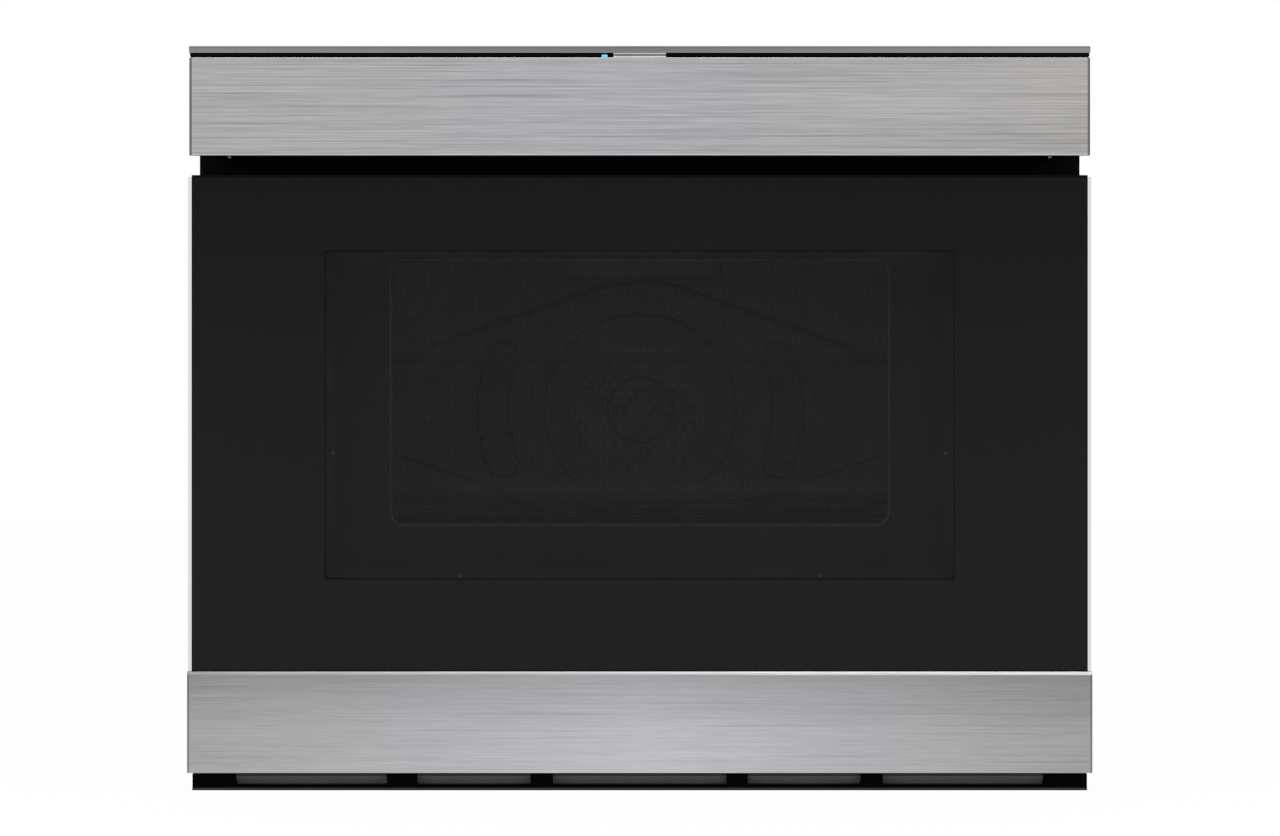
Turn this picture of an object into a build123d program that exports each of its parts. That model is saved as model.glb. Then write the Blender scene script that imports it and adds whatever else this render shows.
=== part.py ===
"""Built-in microwave drawer: case, oven, drawer with its door, runners, drive and a tilting control panel.

Frame: X is the width, -Y the front, +Z up.
The origin is on the resting plane, under the middle of the whole.
"""

from build123d import *
from math import acos, atan2, cos, degrees, pi, radians, sin, sqrt, tan
import os

os.makedirs("parts", exist_ok=True)

# ---------------------------------------------------------------- driving dimensions (mm)
# Whole object
overall_width = 606.0
overall_depth = 640.0
overall_height = 498.0
front_projection = 50.0
gland_reach = 12.0

# Case
case_inset = 24.0
trim_rise = 13.0
case_sheet = 1.2
base_sheet = 1.5
side_flange = 14.0
flange_inset = 4.7
flange_sheet = 2.0
vent_slot_length = 36.0
vent_slot_width = 4.0
vent_slot_pitch = 9.0
vent_slots_in_row = 9
vent_slot_bridge = 8.0
side_vent_inset = 60.0
top_vent_inset = 90.0
back_vent_reach = 0.6
back_vent_level = 0.75
screw_head_radius = 3.6
screw_head_height = 1.8
cabinet_hole_radius = 2.6
cabinet_hole_inset = 7.5
cabinet_hole_low = 60.0
cabinet_hole_spacing = 340.0

# Oven behind the front frame
oven_side_space = 59.0
oven_rear_space = 148.0
oven_bottom = 184.0
oven_sheet = 1.0
fan_centre_drop = 22.0

# Front pieces, from the bottom up
guide_height = 11.0
guide_inset = 3.5
guide_lip = 2.0
door_bottom_gap = 0.7
lower_panel_height = 67.7
panel_joint = 0.3
glass_thickness = 4.0
glass_edge = 0.6
glass_setback = 2.8
recess_height = 14.1
side_trim_inset = 0.6
side_trim_width = 2.4
side_trim_depth = 30.0
front_sheet = 1.2
lower_panel_depth = 20.0
bevel_height = 2.2
door_gap = 2.0
fascia_gap = 3.0
fascia_height = 65.8
fascia_inset = 1.5
fascia_depth = 6.0
fascia_edge_radius = 1.7
fascia_bend_radius = 0.8
trim_height = 4.4
trim_flange_height = 25.0
trim_edge = 0.2

# Door inside
frame_sheet = 1.5
back_plate = 2.0
choke_side_lap = 36.0
choke_low_lap = 34.0
choke_high_lap = 34.0
choke_top_gap = 6.7
choke_depth = 28.0
window_side_inset = 51.5
window_low_inset = 26.3
window_high_inset = 47.7
window_margin = 8.0
window_corner = 8.0
screen_side_margin = 42.5
screen_low_margin = 34.6
screen_high_margin = 4.5
screen_thickness = 0.8
screen_corner = 4.0
screen_seam = 2.0
screen_seam_height = 0.4
pane_thickness = 3.0

# Drawer pan and what lies in it
pan_side_gap = 6.0
pan_floor_gap = 5.0
pan_back_gap = 10.0
pan_sheet = 1.0
pan_top_gap = 40.0
pan_lip_height = 11.0
ceramic_thickness = 4.0
ceramic_gap = 1.5
ceramic_corner = 6.0
ceramic_edge = 1.0
rack_rod_radius = 1.8
rack_bar_radius = 2.4
rack_weld_depth = 0.4
rack_side_gap = 1.0
rack_overhang = 20.0
rack_rod_count = 12
rack_rod_pitch = 26.0
rack_length = 330.0
rack_height = 94.0
ledge_reach = 7.0
ledge_height = 3.0
ledge_overrun = 15.0

# Runners
drawer_travel = 380.0
runner_height = 110.0
runner_length = 430.0
runner_half_height = 23.0
runner_reach = 12.0
runner_sheet = 1.5
runner_web_gap = 0.5
runner_ball_gap = 1.0

# Drive
rack_module = 1.5
pinion_teeth = 18
pinion_width = 10.0
gear_module = 0.8
gear_teeth = 60
motor_pinion_teeth = 18
gear_width = 8.0
backlash = 0.25
pressure_angle = 20.0
tooth_addendum = 0.9
tooth_dedendum = 1.25
drive_x = -40.0
drive_shaft_height = 110.0
drive_shaft_setback = 35.0
drive_shaft_radius = 4.0
rack_bar_height = 9.0
running_clearance = 0.05
motor_shaft_radius = 2.0
motor_shaft_reach = 14.0
motor_shaft_clear = 0.4
drive_motor_radius = 18.0
drive_motor_length = 58.0
bracket_sheet = 2.0

# Control panel
pivot_setback = 10.0
pivot_rise = 6.0
hinge_inset = 25.5
hinge_sheet = 2.0
hinge_pin_radius = 2.5
hinge_pin_length = 18.0
hinge_end_radius = 5.5
hinge_slot_gap = 1.6
bezel_inset = 3.5
bezel_wall = 2.5
bezel_rear_gap = 4.0
bezel_slope_drop = 12.6
touch_inset = 18.0
touch_depth = 31.0
touch_thickness = 1.8
touch_recess = 1.5

# Fans
fan_housing_half = 132.0
fan_housing_floor_gap = 1.5
fan_housing_rise = 85.0
fan_housing_corner = 30.0
fan_housing_depth = 45.0
fan_radius = 54.0
fan_shaft_radius = 4.0
fan_blades = 12
heater_radius = 62.0
heater_rod_radius = 3.2
motor_radius = 32.0
motor_length = 40.0
motor_edge = 3.0
blower_radius = 44.0
blower_width = 36.0
blower_blades = 24
blower_x = 145.0
blower_y = 200.0
blower_z = 78.0
stirrer_radius = 52.0
stirrer_y = 10.0
stirrer_shaft_radius = 3.0
guide_tube_width = 90.0
guide_tube_height = 40.0
guide_tube_wall = 1.2

# ---------------------------------------------------------------- places worked out from them
front_y = -overall_depth / 2
cabinet_y = front_y + front_projection
frame_front_y = cabinet_y - flange_sheet
door_back_y = frame_front_y - door_gap
back_y = overall_depth / 2 - gland_reach
case_width = overall_width - 2 * case_inset
case_height = overall_height - trim_rise
case_half = case_width / 2
case_inside = case_half - case_sheet
flange_width = overall_width - 2 * flange_inset
flange_half = flange_width / 2
trim_bottom = overall_height - trim_height
frame_top = trim_bottom
fascia_top = trim_bottom - fascia_gap
fascia_bottom = fascia_top - fascia_height
fascia_width = overall_width - 2 * fascia_inset
lower_panel_bottom = guide_height + door_bottom_gap
lower_panel_top = lower_panel_bottom + lower_panel_height
glass_bottom = lower_panel_top + panel_joint
glass_top = fascia_bottom - recess_height
glass_half = overall_width / 2 - side_trim_inset - side_trim_width
glass_front_y = front_y + glass_setback
glass_back_y = glass_front_y + glass_thickness
guide_width = overall_width - 2 * guide_inset
choke_front_y = door_back_y - back_plate - choke_depth
choke_top = glass_top - choke_top_gap
choke_bottom = oven_bottom - choke_low_lap
oven_top = choke_top - choke_high_lap
oven_middle = (oven_bottom + oven_top) / 2
oven_width = case_width - 2 * oven_side_space
oven_half = oven_width / 2
oven_back_y = back_y - oven_rear_space
fan_centre_height = oven_middle - fan_centre_drop
choke_half = oven_half + choke_side_lap
choke_width = 2 * choke_half
window_width = oven_width - 2 * window_side_inset
window_bottom = choke_bottom + window_low_inset
window_height = choke_top - window_high_inset - window_bottom
window_centre = window_bottom + window_height / 2
screen_width = window_width + 2 * screen_side_margin
screen_bottom = window_bottom - screen_low_margin
screen_height = window_height + screen_low_margin + screen_high_margin
pan_half = oven_half - pan_side_gap
pan_top = oven_top - pan_top_gap
pan_bottom = oven_bottom + pan_floor_gap
pan_back_y = oven_back_y - pan_back_gap
pan_floor_top = pan_bottom + pan_sheet
ceramic_top = pan_floor_top + ceramic_thickness
rack_y = (door_back_y + pan_back_y) / 2
rack_rod_z = ceramic_top + rack_height
rack_bar_z = rack_rod_z + rack_rod_radius + rack_bar_radius - rack_weld_depth
ledge_top = rack_bar_z - rack_bar_radius
runner_outside = case_inside
runner_inside = runner_outside - runner_reach
pivot_y = front_y + pivot_setback
pivot_z = fascia_bottom + pivot_rise
hinge_x = fascia_width / 2 - hinge_inset
bezel_width = fascia_width - 2 * bezel_inset
touch_width = bezel_width - 2 * touch_inset
bezel_rear_height = fascia_top - bezel_slope_drop
drive_y = cabinet_y + drive_shaft_setback
pinion_pitch = rack_module * pinion_teeth / 2
gear_pitch = gear_module * gear_teeth / 2
motor_pinion_pitch = gear_module * motor_pinion_teeth / 2
rack_pitch_z = drive_shaft_height + pinion_pitch
drive_motor_y = drive_y + gear_pitch + motor_pinion_pitch
both_sides = (("left", -1), ("right", 1))


def block(west, east, front, back, bottom, top, mode=Mode.ADD):
    """Joins a rectangular block between these limits to the piece being built, or cuts it away."""
    middle = ((west + east) / 2, (front + back) / 2, (bottom + top) / 2)
    with Locations(middle):
        Box(east - west, back - front, top - bottom, mode=mode)


def rod(start, end, radius, mode=Mode.ADD):
    """Joins a round rod between two points to the piece being built, or cuts it away."""
    direction = Vector(*end) - Vector(*start)
    spot = Plane(origin=start, z_dir=direction)
    with Locations(spot.location):
        Cylinder(radius, direction.length, align=(Align.CENTER, Align.CENTER, Align.MIN), mode=mode)


def side_view(x):
    """The plane seen from the right at this x: its own x runs along Y, its own y along Z."""
    return Plane(origin=(x, 0, 0), x_dir=(0, 1, 0), z_dir=(1, 0, 0))


def front_view(y):
    """The plane seen from the front at this y, facing -Y: its own x runs along X, its own y along Z."""
    return Plane(origin=(0, y, 0), x_dir=(1, 0, 0), z_dir=(0, -1, 0))


def axle_plane(x, y, z):
    """A plane square to an axle along X, with its middle on the axle."""
    return Plane(origin=(x, y, z), x_dir=(0, 1, 0), z_dir=(1, 0, 0))


def slot_row(centre_x, centre_z, count):
    """Centres of a column of vent slots one above the other."""
    first = centre_z - (count - 1) * vent_slot_pitch / 2
    return [(centre_x, first + step * vent_slot_pitch) for step in range(count)]


def tooth_points(teeth, module):
    """One gear tooth along +X: involute flanks from root to tip, thinned by the backlash."""
    pressure = radians(pressure_angle)
    pitch = module * teeth / 2
    base = pitch * cos(pressure)
    root = pitch - tooth_dedendum * module
    tip = pitch + tooth_addendum * module
    half_pitch = pi / (2 * teeth) - backlash / (2 * pitch)

    def half_angle(radius):
        turn = acos(min(1.0, base / max(radius, base)))
        return half_pitch + (tan(pressure) - pressure) - (tan(turn) - turn)

    radii = [root - module / 2, max(base, root), pitch, (pitch + tip) / 2, tip]
    upper = [(r * cos(half_angle(r)), r * sin(half_angle(r))) for r in radii]
    lower = [(px, -py) for px, py in reversed(upper)]
    return upper + lower


# ================================================================ case
# ---- base plate, with intake slots under the blower
with BuildPart() as base_plate:
    block(-case_half, case_half, cabinet_y, back_y, 0, base_sheet)
    with BuildSketch(Plane.XY):
        with GridLocations(vent_slot_length + vent_slot_bridge, vent_slot_pitch, 4, vent_slots_in_row):
            SlotOverall(vent_slot_length, vent_slot_width)
    extrude(amount=base_sheet, mode=Mode.SUBTRACT)
base_plate.part.label = "base_plate"
export_step(base_plate.part, "parts/base_plate.step")

# ---- side panels: a wall with a flange turned in at its foot and its head, and cooling slots at the rear
side_foot = base_sheet
side_head = case_height - case_sheet
for side_name, side in both_sides:
    with BuildPart() as side_panel:
        outside = side * case_half
        inside = side * case_inside
        flange_end = side * (case_inside - side_flange)
        west = min(outside, inside)
        east = max(outside, inside)
        block(west, east, cabinet_y, back_y - case_sheet, side_foot, side_head)
        flange_west = min(inside, flange_end)
        flange_east = max(inside, flange_end)
        block(flange_west, flange_east, cabinet_y, back_y - case_sheet, side_foot, side_foot + case_sheet)
        block(flange_west, flange_east, cabinet_y, back_y - case_sheet, side_head - case_sheet, side_head)
        with BuildSketch(side_view(west - 1)):
            with Locations((back_y - side_vent_inset, case_height / 2)):
                with GridLocations(1, vent_slot_pitch, 1, vent_slots_in_row):
                    SlotOverall(vent_slot_length, vent_slot_width)
        extrude(amount=case_sheet + 2, mode=Mode.SUBTRACT)
    side_panel.part.label = "side_panel_" + side_name
    export_step(side_panel.part, "parts/side_panel_" + side_name + ".step")

# ---- top cover
with BuildPart() as top_cover:
    block(-case_half, case_half, cabinet_y, back_y, case_height - case_sheet, case_height)
    with BuildSketch(Plane.XY.offset(case_height - case_sheet)):
        with Locations((0, back_y - top_vent_inset)):
            with GridLocations(vent_slot_length + vent_slot_bridge, vent_slot_pitch, 6, vent_slots_in_row):
                SlotOverall(vent_slot_length, vent_slot_width)
    extrude(amount=case_sheet, mode=Mode.SUBTRACT)
top_cover.part.label = "top_cover"
export_step(top_cover.part, "parts/top_cover.step")

# ---- back panel with outlet slots and the hole of the cord gland
gland_inset = 79.0
gland_z = 70.0
gland_radius = 9.0
gland_bore = 4.5
gland_flange = 13.0
gland_flange_height = 3.0
gland_inner_reach = 8.0
gland_wall_step = 1.0
gland_fit = 0.1
gland_x = case_half - gland_inset
with BuildPart() as back_panel:
    block(-case_half, case_half, back_y - case_sheet, back_y, base_sheet, case_height - case_sheet)
    with BuildSketch(front_view(back_y)):
        for column in (-1, 1):
            column_x = column * case_half * back_vent_reach
            with Locations(*slot_row(column_x, case_height * back_vent_level, vent_slots_in_row)):
                SlotOverall(2 * vent_slot_length, vent_slot_width)
        with Locations((gland_x, gland_z)):
            Circle(gland_radius)
    extrude(amount=case_sheet, mode=Mode.SUBTRACT)
back_panel.part.label = "back_panel"
export_step(back_panel.part, "parts/back_panel.step")

# ---- cord gland: a flanged bush through the back panel
with BuildPart() as cord_gland:
    gland_start = back_y - case_sheet - gland_inner_reach
    gland_step_y = back_y + gland_flange_height
    gland_end = back_y + gland_reach
    rod((gland_x, gland_start, gland_z), (gland_x, back_y, gland_z), gland_radius - gland_fit)
    rod((gland_x, back_y, gland_z), (gland_x, gland_step_y, gland_z), gland_flange)
    rod((gland_x, gland_step_y, gland_z), (gland_x, gland_end, gland_z), gland_radius - gland_wall_step)
    rod((gland_x, gland_start, gland_z), (gland_x, gland_end, gland_z), gland_bore, Mode.SUBTRACT)
cord_gland.part.label = "cord_gland"
export_step(cord_gland.part, "parts/cord_gland.step")

# ---- heads of the screws that hold the back panel
with BuildPart() as case_screws:
    with BuildSketch(Plane(origin=(0, back_y, case_height / 2), x_dir=(1, 0, 0), z_dir=(0, 1, 0))):
        with GridLocations((case_inside - side_flange / 2), case_height / 2 - side_flange, 3, 3):
            Circle(screw_head_radius)
        with Locations((0, 0)):
            Circle(screw_head_radius + 1, mode=Mode.SUBTRACT)
    extrude(amount=screw_head_height)
case_screws.part.label = "case_screws"
export_step(case_screws.part, "parts/case_screws.step")

# ---- front frame: the flange plate with the oven mouth, its slots and the air outlet
runner_slot_clear = 0.8
runner_slot_side_clear = 1.5
runner_slot_height = 2 * (runner_half_height - runner_sheet + runner_slot_clear)
runner_slot_west = runner_inside - runner_slot_side_clear
latch_outset = 13.0
latch_x = choke_half + latch_outset
latch_z = oven_middle
latch_slot_width = 7.0
latch_slot_height = 24.0
drive_slot_clear = 2.0
drive_slot_width = pinion_width + 2 * drive_slot_clear
drive_slot_bottom = rack_pitch_z - 2 * drive_slot_clear
drive_slot_top = rack_pitch_z + rack_bar_height + drive_slot_clear
loom_slot_width = 120.0
loom_slot_height = 18.0
loom_slot_rise = 14.0
loom_slot_z = pivot_z + loom_slot_rise
outlet_rise = 1.5
outlet_height = 5.0
outlet_width = 62.0
outlet_pitch = 100.0
with BuildPart() as front_frame:
    with BuildSketch(front_view(cabinet_y)):
        with Locations((0, frame_top / 2)):
            Rectangle(flange_width, frame_top)
        with Locations((0, oven_middle)):
            Rectangle(oven_width, oven_top - oven_bottom, mode=Mode.SUBTRACT)
        for side_name, side in both_sides:
            slot_middle = side * (runner_slot_west + runner_outside) / 2
            with Locations((slot_middle, runner_height)):
                Rectangle(runner_outside - runner_slot_west, runner_slot_height, mode=Mode.SUBTRACT)
            with Locations((side * latch_x, latch_z)):
                Rectangle(latch_slot_width, latch_slot_height, mode=Mode.SUBTRACT)
            hole_x = side * (flange_half - cabinet_hole_inset)
            with Locations((hole_x, cabinet_hole_low), (hole_x, cabinet_hole_low + cabinet_hole_spacing)):
                Circle(cabinet_hole_radius, mode=Mode.SUBTRACT)
        with Locations((drive_x, (drive_slot_bottom + drive_slot_top) / 2)):
            Rectangle(drive_slot_width, drive_slot_top - drive_slot_bottom, mode=Mode.SUBTRACT)
        with Locations((0, loom_slot_z)):
            SlotOverall(loom_slot_width, loom_slot_height, mode=Mode.SUBTRACT)
        with Locations((0, guide_lip + outlet_rise + outlet_height / 2)):
            with GridLocations(outlet_pitch, 1, 5, 1):
                Rectangle(outlet_width, outlet_height, mode=Mode.SUBTRACT)
    extrude(amount=flange_sheet)
front_frame.part.label = "front_frame"
export_step(front_frame.part, "parts/front_frame.step")

# ---- top trim: a bar over the control panel, with a flange that hangs down in front of the front frame
with BuildPart() as top_trim:
    with BuildSketch(side_view(-fascia_width / 2)):
        with BuildLine():
            Polyline(
                (front_y, trim_bottom),
                (front_y, overall_height),
                (frame_front_y, overall_height),
                (frame_front_y, trim_bottom - trim_flange_height),
                (frame_front_y - flange_sheet, trim_bottom - trim_flange_height),
                (frame_front_y - flange_sheet, trim_bottom),
                close=True,
            )
        make_face()
    extrude(amount=fascia_width)
    chamfer(top_trim.edges().filter_by(Axis.X).group_by(Axis.Y)[0], length=trim_edge)
top_trim.part.label = "top_trim"
export_step(top_trim.part, "parts/top_trim.step")

# ---- sensor plate and status light under the trim
sensor_half = 17.6
sensor_thickness = 2.6
sensor_depth = 20.0
sensor_setback = 1.0
light_x = -23.5
light_size = 4.0
light_height = 2.6
with BuildPart() as sensor_and_light:
    sensor_front_y = front_y + sensor_setback
    sensor_back_y = sensor_front_y + sensor_depth
    plate_bottom = trim_bottom - sensor_thickness
    block(-sensor_half, sensor_half, sensor_front_y, sensor_back_y, plate_bottom, trim_bottom)
    with BuildSketch(Plane.XY.offset(trim_bottom - light_height)):
        with Locations((light_x, sensor_front_y + light_size)):
            RectangleRounded(light_size, 2 * light_size, light_size / 4)
    extrude(amount=light_height)
sensor_and_light.part.label = "sensor_and_light"
export_step(sensor_and_light.part, "parts/sensor_and_light.step")

# ---- air guide under the door: a lip, two end blocks, four ribs and the sloping plates between them
guide_setback = 2.0
rib_setback = 1.0
guide_front_y = front_y + guide_setback
rib_front_y = guide_front_y + rib_setback
guide_half = guide_width / 2
end_block = 29.0
rib_edges = ((-169.3, -149.1), (-73.0, -58.2), (58.1, 72.3), (148.0, 162.7))
with BuildPart() as air_guide:
    block(-guide_half, guide_half, guide_front_y, frame_front_y, 0, guide_lip)
    block(-guide_half, -guide_half + end_block, rib_front_y, frame_front_y, guide_lip, guide_height)
    block(guide_half - end_block, guide_half, rib_front_y, frame_front_y, guide_lip, guide_height)
    for rib_west, rib_east in rib_edges:
        block(rib_west, rib_east, rib_front_y, frame_front_y, guide_lip, guide_height)
air_guide.part.label = "air_guide"
export_step(air_guide.part, "parts/air_guide.step")

baffle_sheet = 1.5
baffle_depth = 16.0
baffle_setback = 2.0
baffle_wests = [-guide_half + end_block] + [edges[1] for edges in rib_edges]
baffle_easts = [edges[0] for edges in rib_edges] + [guide_half - end_block]
with BuildPart() as air_baffles:
    baffle_front_y = rib_front_y + baffle_setback
    for baffle_west, baffle_east in zip(baffle_wests, baffle_easts):
        with BuildSketch(side_view(baffle_west)):
            with BuildLine():
                Polyline(
                    (baffle_front_y, guide_height),
                    (baffle_front_y, guide_height - baffle_sheet),
                    (baffle_front_y + baffle_depth, guide_lip),
                    (baffle_front_y + baffle_depth + 2 * baffle_sheet, guide_lip),
                    (baffle_front_y + 2 * baffle_sheet, guide_height),
                    close=True,
                )
            make_face()
        extrude(amount=baffle_east - baffle_west)
air_baffles.part.label = "air_baffles"
export_step(air_baffles.part, "parts/air_baffles.step")

# ================================================================ oven
oven_shell_half = oven_half + oven_sheet
feed_width = 62.0
feed_length = 70.0
with BuildPart() as oven_floor:
    shell_back_y = oven_back_y + oven_sheet
    shell_bottom = oven_bottom - oven_sheet
    block(-oven_shell_half, oven_shell_half, cabinet_y, shell_back_y, shell_bottom, oven_bottom)
oven_floor.part.label = "oven_floor"
export_step(oven_floor.part, "parts/oven_floor.step")

with BuildPart() as oven_roof:
    block(-oven_shell_half, oven_shell_half, cabinet_y, shell_back_y, oven_top, oven_top + oven_sheet)
    with BuildSketch(Plane.XY.offset(oven_top)):
        with Locations((0, stirrer_y)):
            Rectangle(feed_width, feed_length)
    extrude(amount=oven_sheet, mode=Mode.SUBTRACT)
oven_roof.part.label = "oven_roof"
export_step(oven_roof.part, "parts/oven_roof.step")

lamp_y = -100.0
lamp_drop = 20.0
lamp_z = oven_top - lamp_drop
lamp_radius = 12.0
lamp_flange = 4.0
lamp_flange_reach = 8.0
lamp_reach = 28.0
lamp_fit = 0.2
side_vent_setback = 150.0
side_vent_pitch = 7.0
side_vent_radius = 1.5
for side_name, side in both_sides:
    with BuildPart() as oven_wall:
        west = min(side * oven_half, side * oven_shell_half)
        block(west, west + oven_sheet, cabinet_y, oven_back_y, oven_bottom, oven_top)
        with BuildSketch(side_view(west)):
            if side < 0:
                with Locations((lamp_y, lamp_z)):
                    Circle(lamp_radius)
            with Locations((lamp_y + side_vent_setback, lamp_z)):
                with GridLocations(side_vent_pitch, side_vent_pitch, 8, 3):
                    Circle(side_vent_radius)
        extrude(amount=oven_sheet, mode=Mode.SUBTRACT)
    oven_wall.part.label = "oven_wall_" + side_name
    export_step(oven_wall.part, "parts/oven_wall_" + side_name + ".step")

# ---- rear wall of the oven, with the grille of the fan and two curved outlet slots
grille_hole = 2.0
grille_pitch = 7.5
grille_rings = 7
arc_slot_radius = 112.0
arc_slot_width = 22.0
arc_slot_half_angle = 21.0
with BuildPart() as oven_rear_wall:
    block(-oven_half, oven_half, oven_back_y, oven_back_y + oven_sheet, oven_bottom, oven_top)
    with BuildSketch(front_view(oven_back_y + oven_sheet)):
        for row in range(-grille_rings, grille_rings + 1):
            holes_in_row = 2 * grille_rings + 1 - abs(row)
            with Locations((0, fan_centre_height + row * grille_pitch * sin(radians(60)))):
                with GridLocations(grille_pitch, 1, holes_in_row, 1):
                    Circle(grille_hole)
    extrude(amount=oven_sheet, mode=Mode.SUBTRACT)
    with BuildSketch(front_view(oven_back_y + oven_sheet)):
        for facing in (0, 180):
            with BuildLine(mode=Mode.PRIVATE) as slot_path:
                CenterArc(
                    (0, fan_centre_height),
                    arc_slot_radius,
                    facing - arc_slot_half_angle,
                    2 * arc_slot_half_angle,
                )
            SlotArc(slot_path.edge(), arc_slot_width)
    extrude(amount=oven_sheet, mode=Mode.SUBTRACT)
oven_rear_wall.part.label = "oven_rear_wall"
export_step(oven_rear_wall.part, "parts/oven_rear_wall.step")

# ---- legs that carry the rear of the oven on the base plate
leg_inset = 30.0
leg_x = oven_half - leg_inset
leg_y = 100.0
leg_width = 40.0
leg_foot = 15.0
with BuildPart() as oven_legs:
    for side_name, side in both_sides:
        leg_west = side * leg_x - leg_width / 2
        leg_east = side * leg_x + leg_width / 2
        block(leg_west, leg_east, leg_y, leg_y + bracket_sheet, base_sheet, oven_bottom - oven_sheet)
        leg_top = oven_bottom - oven_sheet
        block(leg_west, leg_east, leg_y, leg_y + leg_foot, base_sheet, base_sheet + bracket_sheet)
        block(leg_west, leg_east, leg_y, leg_y + leg_foot, leg_top - bracket_sheet, leg_top)
oven_legs.part.label = "oven_legs"
export_step(oven_legs.part, "parts/oven_legs.step")

# ---- lamp in the left wall
with BuildPart() as oven_lamp:
    wall_face = (-oven_half - oven_sheet, lamp_y, lamp_z)
    flange_end = (-oven_half - lamp_flange_reach, lamp_y, lamp_z)
    lamp_end = (-oven_half - lamp_reach, lamp_y, lamp_z)
    rod(wall_face, flange_end, lamp_radius + lamp_flange)
    rod((-oven_half, lamp_y, lamp_z), wall_face, lamp_radius - lamp_fit)
    rod(flange_end, lamp_end, lamp_radius)
oven_lamp.part.label = "oven_lamp"
export_step(oven_lamp.part, "parts/oven_lamp.step")

# ================================================================ hot air
housing_front_y = oven_back_y + oven_sheet
housing_back_y = housing_front_y + fan_housing_depth
fan_shaft_clear = 0.6
heater_setback = 22.0
terminal_half = 12.0
terminal_reach = 10.0
terminal_fit = 0.1
terminal_z = fan_centre_height + sqrt(heater_radius**2 - terminal_half**2)
with BuildPart() as fan_housing:
    housing_bottom = oven_bottom + fan_housing_floor_gap
    housing_top = fan_centre_height + fan_housing_rise
    inner_back = housing_back_y - oven_sheet
    with BuildSketch(front_view(housing_back_y)):
        with Locations((0, (housing_bottom + housing_top) / 2)):
            RectangleRounded(2 * fan_housing_half, housing_top - housing_bottom, fan_housing_corner)
    extrude(amount=fan_housing_depth)
    offset(amount=-oven_sheet, openings=fan_housing.faces().sort_by(Axis.Y)[0])
    rod(
        (0, inner_back, fan_centre_height),
        (0, housing_back_y, fan_centre_height),
        fan_shaft_radius + fan_shaft_clear,
        Mode.SUBTRACT,
    )
    for side_name, side in both_sides:
        terminal_x = side * terminal_half
        rod(
            (terminal_x, inner_back, terminal_z),
            (terminal_x, housing_back_y, terminal_z),
            heater_rod_radius + terminal_fit,
            Mode.SUBTRACT,
        )
fan_housing.part.label = "fan_housing"
export_step(fan_housing.part, "parts/fan_housing.step")

# ---- ring heater: an open ring whose two ends turn back through the housing
heater_y = housing_front_y + heater_setback
gap_angle = degrees(atan2(terminal_half, sqrt(heater_radius**2 - terminal_half**2)))
heater_axis = Axis((0, heater_y, fan_centre_height), (0, 1, 0))
with BuildPart() as ring_heater:
    with BuildSketch(axle_plane(terminal_half, heater_y, terminal_z)):
        Circle(heater_rod_radius)
    revolve(axis=heater_axis, revolution_arc=360 - 2 * gap_angle)
    for side_name, side in both_sides:
        terminal_x = side * terminal_half
        terminal_end = (terminal_x, housing_back_y + terminal_reach, terminal_z)
        rod((terminal_x, heater_y, terminal_z), terminal_end, heater_rod_radius)
ring_heater.part.label = "ring_heater"
export_step(ring_heater.part, "parts/ring_heater.step")

# ---- fan wheel with its shaft
fan_disc_setback = 26.0
fan_disc_sheet = 1.5
blade_height = 16.0
blade_tilt = 20.0
shaft_play = 1.0
fan_disc_y = housing_front_y + fan_disc_setback
motor_front_y = housing_back_y
shaft_depth = 24.0
with BuildPart() as convection_fan:
    disc_front = (0, fan_disc_y, fan_centre_height)
    disc_back = (0, fan_disc_y + fan_disc_sheet, fan_centre_height)
    hub_end = (0, fan_disc_y - blade_height, fan_centre_height)
    rod(disc_front, disc_back, fan_radius)
    rod(hub_end, disc_front, 2 * fan_shaft_radius)
    rod(disc_front, (0, motor_front_y + shaft_depth, fan_centre_height), fan_shaft_radius)
    wheel_plane = Plane(origin=(0, fan_disc_y, fan_centre_height), x_dir=(1, 0, 0), z_dir=(0, -1, 0))
    with BuildSketch(wheel_plane):
        with PolarLocations((fan_radius + 2 * fan_shaft_radius) / 2, fan_blades):
            Rectangle(fan_radius - 3 * fan_shaft_radius, fan_disc_sheet, rotation=blade_tilt)
    extrude(amount=blade_height)
convection_fan.part.label = "convection_fan"
export_step(convection_fan.part, "parts/convection_fan.step")

with BuildPart() as convection_motor:
    motor_back_y = motor_front_y + motor_length
    rod((0, motor_front_y, fan_centre_height), (0, motor_back_y, fan_centre_height), motor_radius)
    rod(
        (0, motor_front_y, fan_centre_height),
        (0, motor_front_y + shaft_depth + shaft_play, fan_centre_height),
        fan_shaft_radius + running_clearance,
        Mode.SUBTRACT,
    )
    chamfer(convection_motor.edges().filter_by(GeomType.CIRCLE).sort_by(Axis.Y)[-1], length=motor_edge)
convection_motor.part.label = "convection_motor"
export_step(convection_motor.part, "parts/convection_motor.step")

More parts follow.
